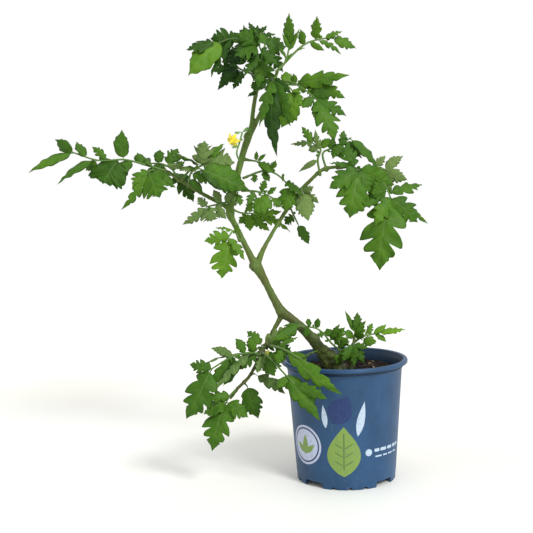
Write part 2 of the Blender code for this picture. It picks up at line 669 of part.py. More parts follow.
def make_flower(collection, stems, green):
    axis = Vector(FLOWER_AXIS).normalized()
    centre = Vector(FLOWER_CENTRE)
    yellow = make_material("tomato_petal", (0.8, 0.62, 0.03), 0.6)
    orange = make_material("tomato_anther", (0.75, 0.42, 0.02), 0.55)
    star("flower_petals", 6, 2.2, PETAL_LENGTH, collection, yellow, 0.0)
    star("flower_calyx", 6, 1.4, SEPAL_LENGTH, collection, green, -FLOWER_SHEET - GAP)
    mesh = bpy.data.meshes.new("flower_anther_cone")
    shape = bmesh.new()
    bmesh.ops.create_cone(
        shape, cap_ends=True, segments=10, radius1=CONE_RADIUS * MM, radius2=0.4 * MM, depth=CONE_LENGTH * MM
    )
    shape.to_mesh(mesh)
    shape.free()
    cone = add_mesh("flower_anther_cone", mesh, collection, orange)
    cone.rotation_euler = axis.to_track_quat("Z", "Y").to_euler()
    cone.location = (centre + axis * (CONE_LENGTH / 2 + FLOWER_SHEET / 2 + GAP)) * MM

    stalk = [Vector((*point, TRUSS_RADIUS)) for point in TRUSS_STALK]
    whole = smooth_path(stalk, 2)
    truss = tube("truss_stalk", clear_of(whole, stems), collection, green, 6)
    twigs = new_collection("truss_twigs", helper=True)
    behind = centre - axis * (1.5 * FLOWER_SHEET + 2 * GAP)
    pedicel = [along_path(whole, 0.55), behind - axis * 3.0, behind]
    make_helper(tube("pedicel", [Vector((*p, 0.7)) for p in pedicel], twigs, sides=6))
    for number, (place, radius) in enumerate(BUDS):
        root = min((along_path(whole, share / 10) for share in range(3, 11)),
                   key=lambda p: (p - Vector(place)).length)
        twig = [Vector((*root, 0.5)), Vector((*place, 0.5))]
        make_helper(tube(f"bud_twig_{number}", twig, twigs, sides=4))
        bud = bpy.data.meshes.new(f"bud_{number}")
        ball = bmesh.new()
        bmesh.ops.create_icosphere(ball, subdivisions=1, radius=radius * MM)
        bmesh.ops.scale(ball, vec=(0.8, 0.8, 1.5), verts=ball.verts)
        bmesh.ops.translate(ball, vec=Vector(place) * MM, verts=ball.verts)
        ball.to_mesh(bud)
        ball.free()
        make_helper(add_mesh(f"bud_{number}", bud, twigs))
    unite(truss, twigs)


def main():
    clear_scene()
    plant = new_collection("tomato_plant_in_pot")
    make_pot(plant)
    paths = make_stems(plant)
    make_soil(plant, [paths["main_stem"], paths["sucker_stem"]])
    leaf_green = make_material("leaf_blade", (0.05, 0.17, 0.03), 0.6)
    stems = list(paths.values())
    for name, (stalk, leaflets) in LEAVES.items():
        make_leaf(name, stalk, leaflets, stems, plant, leaf_green)
    make_flower(plant, stems, leaf_green)


main()
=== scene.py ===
import math
import random

import bmesh
import bpy
import numpy as np
from mathutils import Euler, Matrix, Vector, noise


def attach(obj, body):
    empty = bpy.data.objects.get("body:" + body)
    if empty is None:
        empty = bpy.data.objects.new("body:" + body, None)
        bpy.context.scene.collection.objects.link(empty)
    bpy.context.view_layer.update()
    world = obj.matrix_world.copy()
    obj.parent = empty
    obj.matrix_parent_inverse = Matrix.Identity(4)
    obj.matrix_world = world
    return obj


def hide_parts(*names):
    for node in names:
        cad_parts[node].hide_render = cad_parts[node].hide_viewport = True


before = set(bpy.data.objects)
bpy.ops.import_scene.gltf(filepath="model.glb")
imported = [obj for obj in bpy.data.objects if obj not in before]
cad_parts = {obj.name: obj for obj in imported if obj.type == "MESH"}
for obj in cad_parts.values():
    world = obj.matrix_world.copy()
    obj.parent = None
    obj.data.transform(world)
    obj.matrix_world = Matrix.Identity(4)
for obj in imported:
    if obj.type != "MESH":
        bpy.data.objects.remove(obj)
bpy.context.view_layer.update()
mm = 0.001
print("frame loaded,", len(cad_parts), "nodes")


def linear(hexText):
    # sRGB hex to the linear values that the shaders take
    values = [int(hexText[i:i + 2], 16) / 255 for i in (1, 3, 5)]
    return tuple(v / 12.92 if v <= 0.04045 else ((v + 0.055) / 1.055) ** 2.4 for v in values) + (1.0,)


def fillSockets(tree, node, values):
    # each value is a number, a colour, or a socket to link from
    for key, value in values.items():
        if isinstance(value, bpy.types.NodeSocket):
            tree.links.new(value, node.inputs[key])
        else:
            node.inputs[key].default_value = value


def addNode(tree, kind, values=None, **settings):
    # settings are the node's own, values its sockets
    node = tree.nodes.new(kind)
    for key, value in settings.items():
        setattr(node, key, value)
    fillSockets(tree, node, values or {})
    return node


def noiseOf(tree, where, size, detail, roughness=0.5):
    # noise with features of about this size in millimetres
    return addNode(tree, "ShaderNodeTexNoise", {"Vector": where, "Scale": 1 / (size * mm), "Detail": detail,
                   "Roughness": roughness}).outputs["Fac"]


def remap(tree, value, source, target=(0.0, 1.0), **settings):
    values = {"Value": value, "From Min": source[0], "From Max": source[1], "To Min": target[0],
              "To Max": target[1]}
    return addNode(tree, "ShaderNodeMapRange", values, **settings).outputs[0]


def calculate(tree, operation, first, second=None):
    values = {0: first} if second is None else {0: first, 1: second}
    return addNode(tree, "ShaderNodeMath", values, operation=operation).outputs[0]


def mixColours(tree, share, first, second, blend="MIX"):
    return addNode(tree, "ShaderNodeMix", {"Factor": share, "A": first, "B": second}, data_type="RGBA",
                   blend_type=blend).outputs["Result"]


def bumpOf(tree, height, strength, depth):
    # depth in millimetres
    return addNode(tree, "ShaderNodeBump", {"Height": height, "Strength": strength,
                   "Distance": depth * mm}).outputs["Normal"]


def objectPlace(tree):
    return addNode(tree, "ShaderNodeTexCoord").outputs["Object"]


def bladePlace(tree):
    # the leaf pattern's coordinates and the tone, one socket each
    place = addNode(tree, "ShaderNodeAttribute", attribute_name="bladePlace").outputs["Vector"]
    return addNode(tree, "ShaderNodeSeparateXYZ", {"Vector": place}).outputs


def newMaterial(name):
    material = bpy.data.materials.new(name)
    material.use_nodes = True
    return material, material.node_tree, material.node_tree.nodes["Principled BSDF"]


def colourSteps(tree, factor, steps):
    # a colour ramp from (place, hex colour) steps
    ramp = addNode(tree, "ShaderNodeValToRGB", {"Fac": factor})
    while len(ramp.color_ramp.elements) < len(steps):
        ramp.color_ramp.elements.new(1.0)
    for element, (place, colour) in zip(ramp.color_ramp.elements, steps):
        element.position = place
        element.color = linear(colour)
    return ramp.outputs["Color"]


def smoothPath(points, steps):
    # Catmull-Rom through the points, which may be of any size
    points = np.array(points, float)
    ends = np.vstack([2 * points[0] - points[1], points, 2 * points[-1] - points[-2]])
    path = []
    for a, b, c, d in zip(ends, ends[1:], ends[2:], ends[3:]):
        for t in np.arange(steps) / steps:
            path.append(0.5 * (2 * b + (c - a) * t + (2 * a - 5 * b + 4 * c - d) * t * t
                               + (3 * b - a - 3 * c + d) * t ** 3))
    path.append(points[-1])
    return np.array(path)


def placeAlong(path, share):
    # the point at this share of the path's length
    steps = np.linalg.norm(np.diff(path[:, :3], axis=0), axis=1)
    run = np.concatenate([[0], np.cumsum(steps)])
    return np.array([np.interp(share * run[-1], run, path[:, k]) for k in range(path.shape[1])])


def unit(vector):
    return vector / max(np.linalg.norm(vector), 1e-9)


class Shape:
    # gathers points, faces, material numbers and the leaf pattern's coordinates for one mesh
    def __init__(self):
        self.points, self.faces, self.slots, self.place, self.count = [], [], [], [], 0

    def add(self, points, faces, slots, place=None):
        self.points.append(np.asarray(points, float))
        self.faces += [tuple(int(i) + self.count for i in face) for face in faces]
        self.slots += list(slots)
        self.place.append(np.zeros((len(points), 3)) if place is None else np.asarray(place, float))
        self.count += len(points)

    def tube(self, path, sides=10, slot=2, place=(0.0, 0.0, 0.5), ridges=0.0):
        # a closed tube along (x, y, z, radius), with rounded ends
        path = np.asarray(path, float)
        tangents = np.gradient(path[:, :3], axis=0)
        side = unit(np.cross(tangents[0], (0.31, 0.87, 0.21)))
        turns = np.arange(sides) * 2 * math.pi / sides
        rings = []
        for spot, tangent in zip(path, tangents):
            tangent = unit(tangent)
            side = unit(side - tangent * side.dot(tangent))
            up = np.cross(tangent, side)
            radius = spot[3] * (1 + ridges * np.cos(4 * turns))
            rings.append(spot[:3] + np.outer(np.cos(turns) * radius, side)
                         + np.outer(np.sin(turns) * radius, up))
        first = path[0, :3] - unit(tangents[0]) * path[0, 3] * 0.6
        last = path[-1, :3] + unit(tangents[-1]) * path[-1, 3] * 0.6
        points = np.vstack(rings + [first[None], last[None]])
        faces = []
        for ring in range(len(path) - 1):
            for i in range(sides):
                a, b = ring * sides + i, ring * sides + (i + 1) % sides
                faces.append((a, b, b + sides, a + sides))
        start, end = len(path) * sides, len(path) * sides + 1
        top = (len(path) - 1) * sides
        for i in range(sides):
            faces.append((start, (i + 1) % sides, i))
            faces.append((end, top + i, top + (i + 1) % sides))
        self.add(points, faces, [slot] * len(faces), np.tile(place, (len(points), 1)))

    def build(self, name, materials, smooth=True):
        mesh = bpy.data.meshes.new(name)
        mesh.from_pydata((np.vstack(self.points) * mm).tolist(), [], self.faces)
        for material in materials:
            mesh.materials.append(material)
        mesh.polygons.foreach_set("material_index", self.slots)
        if smooth:
            mesh.shade_smooth()
        written = mesh.attributes.new("bladePlace", "FLOAT_VECTOR", "POINT")
        written.data.foreach_set("vector", np.vstack(self.place).astype(np.float32).ravel())
        mesh.update()
        piece = bpy.data.objects.new(name, mesh)
        bpy.context.scene.collection.objects.link(piece)
        return piece


def finishPiece(piece, slotName, *nodes):
    if nodes:
        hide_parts(*nodes)
    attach(piece, "root")
    return piece


leafFinish = {
    "topDark": "#0D270A", "topMid": "#365C11", "topLight": "#5B841C",
    "veinDark": "#213D17", "veinLight": "#5F7D30",
    "underDark": "#3B5628", "underLight": "#687F44", "underVein": "#7F9360",
    "oldDark": "#7C8A2E", "oldMid": "#B5BC34", "oldLight": "#DCDC6A",
    "oldVeinDark": "#8C8A3E", "oldVeinLight": "#EFE7A0",
    "netSpacing": 1.9, "cloudSize": 24, "pocketSize": 0.7 * 3,
}


def makeLeafMaterial(name, underside=False, old=False):
    # Living tomato leaf: a soft waxy skin with fine hairs. It reads as satin green with paler veins
    # on top, and as a matte, greyer green with raised veins beneath.
    look = leafFinish
    material, tree, shader = newMaterial(name)
    veinPlace, across, tone = bladePlace(tree)
    where = objectPlace(tree)

    # side veins lie at whole numbers of the first coordinate, the midrib at zero of the second
    wholes = calculate(tree, "PINGPONG", veinPlace, 0.5)
    sideVein = remap(tree, wholes, (0.0, 0.09), (1.0, 0.0), interpolation_type="SMOOTHSTEP")
    spread = calculate(tree, "ABSOLUTE", across)
    midrib = remap(tree, spread, (0.0, 0.09), (1.0, 0.0), interpolation_type="SMOOTHSTEP")
    fainter = calculate(tree, "MULTIPLY", sideVein, remap(tree, spread, (0.2, 1.0), (0.8, 0.15)))
    veins = calculate(tree, "MAXIMUM", fainter, midrib)

    # the net of small veins, and the blistered pockets between them
    net = addNode(tree, "ShaderNodeTexVoronoi", {"Vector": where, "Scale": 1 / (look["netSpacing"] * mm)},
                  feature="DISTANCE_TO_EDGE")
    netLine = remap(tree, net.outputs["Distance"], (0.0, 0.14), (1.0, 0.0))
    cloud = noiseOf(tree, where, look["cloudSize"], 4.0, 0.6)
    pockets = noiseOf(tree, where, look["pocketSize"], 3.0, 0.6)
    shade = calculate(tree, "ADD", tone, remap(tree, cloud, (0.25, 0.75), (-0.16, 0.16)))
    shade = calculate(tree, "ADD", shade, remap(tree, pockets, (0.2, 0.8), (-0.09, 0.09)))
    if old:
        bladeSteps = [(0.0, look["oldDark"]), (0.5, look["oldMid"]), (1.0, look["oldLight"])]
        veinSteps = [(0.0, look["oldVeinDark"]), (1.0, look["oldVeinLight"])]
    elif underside:
        bladeSteps = [(0.0, look["underDark"]), (1.0, look["underLight"])]
        veinSteps = [(0.0, look["underLight"]), (1.0, look["underVein"])]
    else:
        bladeSteps = [(0.0, look["topDark"]), (0.5, look["topMid"]), (1.0, look["topLight"])]
        veinSteps = [(0.0, look["veinDark"]), (1.0, look["veinLight"])]
    veinShare = calculate(tree, "MAXIMUM", veins, calculate(tree, "MULTIPLY", netLine, 0.16))
    colour = mixColours(tree, veinShare, colourSteps(tree, shade, bladeSteps),
                        colourSteps(tree, shade, veinSteps))
    # veins are sunk on top and raised beneath
    relief = calculate(tree, "MULTIPLY", veinShare, 1.0 if underside else -1.0)
    relief = calculate(tree, "ADD", relief, pockets)
    fillSockets(tree, shader, {
        "Base Color": colour,
        "Roughness": 0.8 if underside else remap(tree, pockets, (0.0, 1.0), (0.42, 0.62)),
        "Normal": bumpOf(tree, relief, 0.5, 0.3),
        "IOR": 1.42,
        "Specular IOR Level": 0.16,
    })
    return material


stemFinish = {
    "base": "#4B5228", "low": "#465423", "mid": "#455320", "high": "#557029", "young": "#54742B",
    "tan": "#4B4423", "ridgeSize": 1.1 * 2, "speckSize": 0.8, "patchSize": 9, "cloudSize": 16,
}
stalkFinish = {"dark": "#2B4620", "mid": "#4A6A2B", "light": "#728F44"}


def makeStemMaterial():
    # Young tomato stem: a ribbed, finely hairy green skin, browner and corky where it leaves the soil.
    look = stemFinish
    material, tree, shader = newMaterial("hairyGreenStemSkin")
    where = objectPlace(tree)
    split = addNode(tree, "ShaderNodeSeparateXYZ", {"Vector": where}).outputs
    # only the main stem's foot is corky, so the low hanging shoot counts as young growth
    level = calculate(tree, "ADD", split["Z"], remap(tree, split["X"], (-0.04, -0.07), (0.0, 0.06)))
    cloud = noiseOf(tree, where, look["cloudSize"], 5.0)
    level = calculate(tree, "ADD", level, remap(tree, cloud, (0.0, 1.0), (-0.02, 0.02)))
    rise = remap(tree, level, (0.105, 0.45))
    colour = colourSteps(tree, rise, [(0.0, look["base"]), (0.07, look["low"]), (0.3, look["mid"]),
                                      (0.7, look["high"]), (1.0, look["young"])])
    streaks = addNode(tree, "ShaderNodeMapping", {"Vector": where, "Scale": (1.0, 1.0, 0.12)})
    ribs = noiseOf(tree, streaks.outputs[0], look["ridgeSize"], 4.0)
    specks = noiseOf(tree, where, look["speckSize"], 2.0)
    shaded = mixColours(tree, 1.0, colour, remap(tree, ribs, (0.3, 0.7), (0.78, 1.12)), "MULTIPLY")
    # brown, sun-toughened patches that run along the stem
    stretched = addNode(tree, "ShaderNodeMapping", {"Vector": where, "Scale": (1.0, 1.0, 0.3)})
    patch = noiseOf(tree, stretched.outputs[0], look["patchSize"], 6.0)
    shaded = mixColours(tree, remap(tree, patch, (0.46, 0.66), (0.0, 0.45)), shaded, linear(look["tan"]))
    fillSockets(tree, shader, {
        "Base Color": shaded,
        "Roughness": 0.55,
        "Normal": bumpOf(tree, calculate(tree, "ADD", ribs, specks), 0.35, 0.4),
        "Specular IOR Level": 0.25,
        "Sheen Weight": 0.04,
    })
    return material


def makeStalkMaterial():
    # Leaf stalk and midrib: pale, juicy green with a fine down.
    look = stalkFinish
    material, tree, shader = newMaterial("paleLeafStalk")
    tone = bladePlace(tree)["Z"]
    cloud = noiseOf(tree, objectPlace(tree), 3, 4.0)
    shade = calculate(tree, "ADD", tone, remap(tree, cloud, (0.0, 1.0), (-0.2, 0.2)))
    colour = colourSteps(tree, shade, [(0.0, look["dark"]), (0.5, look["mid"]), (1.0, look["light"])])
    fillSockets(tree, shader, {
        "Base Color": colour,
        "Roughness": 0.5,
        "Normal": bumpOf(tree, cloud, 0.25, 0.2),
        "Specular IOR Level": 0.25,
        "Sheen Weight": 0.04,
    })
    return material


leafTop = makeLeafMaterial("waxyLeafTop")
leafUnder = makeLeafMaterial("mattLeafUnderside", underside=True)
oldLeafTop = makeLeafMaterial("witheredLeaf", old=True)
stemSkin = makeStemMaterial()
print("plant finishes made")


# Each stem is a list of centre points (x, y, z) in millimetres with the stem's radius there.
stemPlan = {
    "main_stem": [
        ((4, 0, 92), 9.0), ((-7, 0, 108), 9.6), ((-13, 0, 116), 9.0), ((-21, 0, 129), 7.0),
        ((-30, 0, 142), 5.9),
        ((-42, 0, 156), 5.1), ((-54, 0, 167), 4.7), ((-63, 0, 174), 5.4), ((-68, 0, 182), 4.6),
        ((-75, 0, 196), 3.9), ((-81, 0, 209), 4.2), ((-87, 0, 220), 5.8), ((-89, 0, 224), 5.4),
    ],
    "leader_stem": [
        ((-88, 0, 221), 4.6), ((-94, 0, 233), 3.5), ((-102, 0, 250), 3.0), ((-110, 0, 267), 3.1),
        ((-114, 0, 277), 4.2), ((-112, 1, 289), 3.4), ((-109, 2, 301), 3.3), ((-99, 4, 338), 3.4),
        ((-93, 4, 354), 3.7), ((-89.5, 4.5, 366), 2.5), ((-88, 5, 378), 2.3), ((-83, 5, 406), 2.1),
        ((-81, 5, 427), 1.7),
    ],
    "upper_stem": [
        ((-92, 3, 354), 2.5), ((-86, 3, 366), 2.4), ((-79, 4, 380), 2.2), ((-73, 5, 394), 2.2),
        ((-62, 8, 419), 1.9),
    ],
    "right_branch": [
        ((-88, 1, 221), 3.6), ((-83, 2, 235), 2.9), ((-75, 6, 249), 2.2), ((-61, 10, 271), 2.1),
        ((-42, 12, 297), 2.1), ((-32, 12, 307), 2.1), ((-18, 10, 319), 2.1), ((0, 8, 322), 1.7),
    ],
    "left_arm": [
        ((-113, 0, 280), 3.0), ((-122, 0, 287), 2.4), ((-140, -2, 297), 2.1), ((-160, -4, 310), 2.0),
        ((-175, -6, 321), 1.8),
    ],
    "lower_shoot": [
        ((-62, 0, 173), 3.8), ((-67, -2, 165), 2.7), ((-82, -10, 140), 2.1), ((-97, -16, 113), 1.9),
        ((-110, -20, 100), 1.7), ((-118, -24, 90), 1.4),
    ],
    "sucker_stem": [
        ((11, -12, 102), 2.2), ((5, -9, 122), 2.1), ((6, -8, 134), 1.8), ((10, -8, 144), 1.4),
    ],
}
stemMaking = {"voxel": 0.75, "sides": 20, "steps": 6, "smoothing": 10, "rootKnobs": 70}
stemPaths = {name: smoothPath([(*point, radius) for point, radius in plan], stemMaking["steps"])
             for name, plan in stemPlan.items()}


def makeStems():
    # all the stems and the swollen joints between them, fused into one skin
    shape = Shape()
    for path in stemPaths.values():
        shape.tube(path, stemMaking["sides"])
    # the swellings where leaves and shoots leave the stem
    knots = [(-64, -0.5, 174, 6.2), (-90, 0, 222, 6.4), (-113.5, 0, 277, 4.8), (-94, 3, 355, 3.9),
             (-31, 1, 146, 6.6), (-28, -4, 141, 3.4), (-20, -3, 134, 6.2), (-13, -4, 128, 7.6),
             (-9, -5, 121, 8.2), (-6, -6, 115, 8.6), (-16, 5, 122, 6.4)]
    for x, y, z, radius in knots:
        swelling = [(x - 1.2, y, z - 2.5, radius * 0.9), (x, y, z, radius),
                    (x + 0.6, y, z + 2.5, radius * 0.9)]
        shape.tube(swelling, 16)
    # knobs of young roots crowd the foot of the stem
    pick = random.Random(5)
    for _ in range(stemMaking["rootKnobs"]):
        along, turn = pick.uniform(0, 1), pick.uniform(0, 2 * math.pi)
        x, y, z, radius = stemPaths["main_stem"][int(along * 0.3 * len(stemPaths["main_stem"]))]
        reach, knob = radius * 0.98, pick.uniform(0.9, 2.2) * (1 - 0.5 * along)
        spot = (x + reach * math.cos(turn), y + reach * math.sin(turn), z + pick.uniform(-3, 3))
        shape.tube([(spot[0], spot[1], spot[2] - 0.6, knob * 0.8), (*spot, knob),
                    (spot[0], spot[1], spot[2] + 0.6, knob * 0.8)], 10)
    for leaf in leafPlan.values():
        # a collar where each leaf stalk leaves its stem
        stalk = smoothPath([(*point, 1.3) for point in leaf["stalk"]], 4)
        stalk = stalk[:max(3, int(0.12 * len(stalk)) + 1)].copy()
        stalk[:, 3] = np.linspace(1.7, 1.15, len(stalk))
        inward = unit(stalk[0, :3] - stalk[1, :3]) * 2.0
        shape.tube(np.vstack([[*(stalk[0, :3] + inward), 1.9], stalk]), 12)
    stems = shape.build("tomato_stems", [stemSkin])
    remesh = stems.modifiers.new("fuse", "REMESH")
    remesh.mode = "VOXEL"
    remesh.voxel_size = stemMaking["voxel"] * mm
    remesh.use_smooth_shade = True
    blend = stems.modifiers.new("blend", "SMOOTH")
    blend.factor = 0.6
    blend.iterations = stemMaking["smoothing"]
    bpy.context.view_layer.update()
    graph = bpy.context.evaluated_depsgraph_get()
    fused = bpy.data.meshes.new_from_object(stems.evaluated_get(graph))
    stems.modifiers.clear()
    stems.data = fused
    shape = bmesh.new()
    shape.from_mesh(fused)
    for vert in shape.verts:
        spot = vert.co / mm
        ribs = noise.noise(Vector((spot.x / 2.2, spot.y / 2.2, spot.z / 14))) * 0.35
        # the stem's foot is knobbly where roots have started
        knobs = max(0.0, 1.0 - abs(spot.z - 116) / 26) if spot.x > -50 and spot.x < 10 else 0.0
        ribs += knobs * noise.noise(spot / 3.4) * 1.3
        vert.co += vert.normal * ribs * mm
    shape.to_mesh(fused)
    shape.free()
    fused.shade_smooth()
    finishPiece(stems, "stem_skin", *stemPlan)


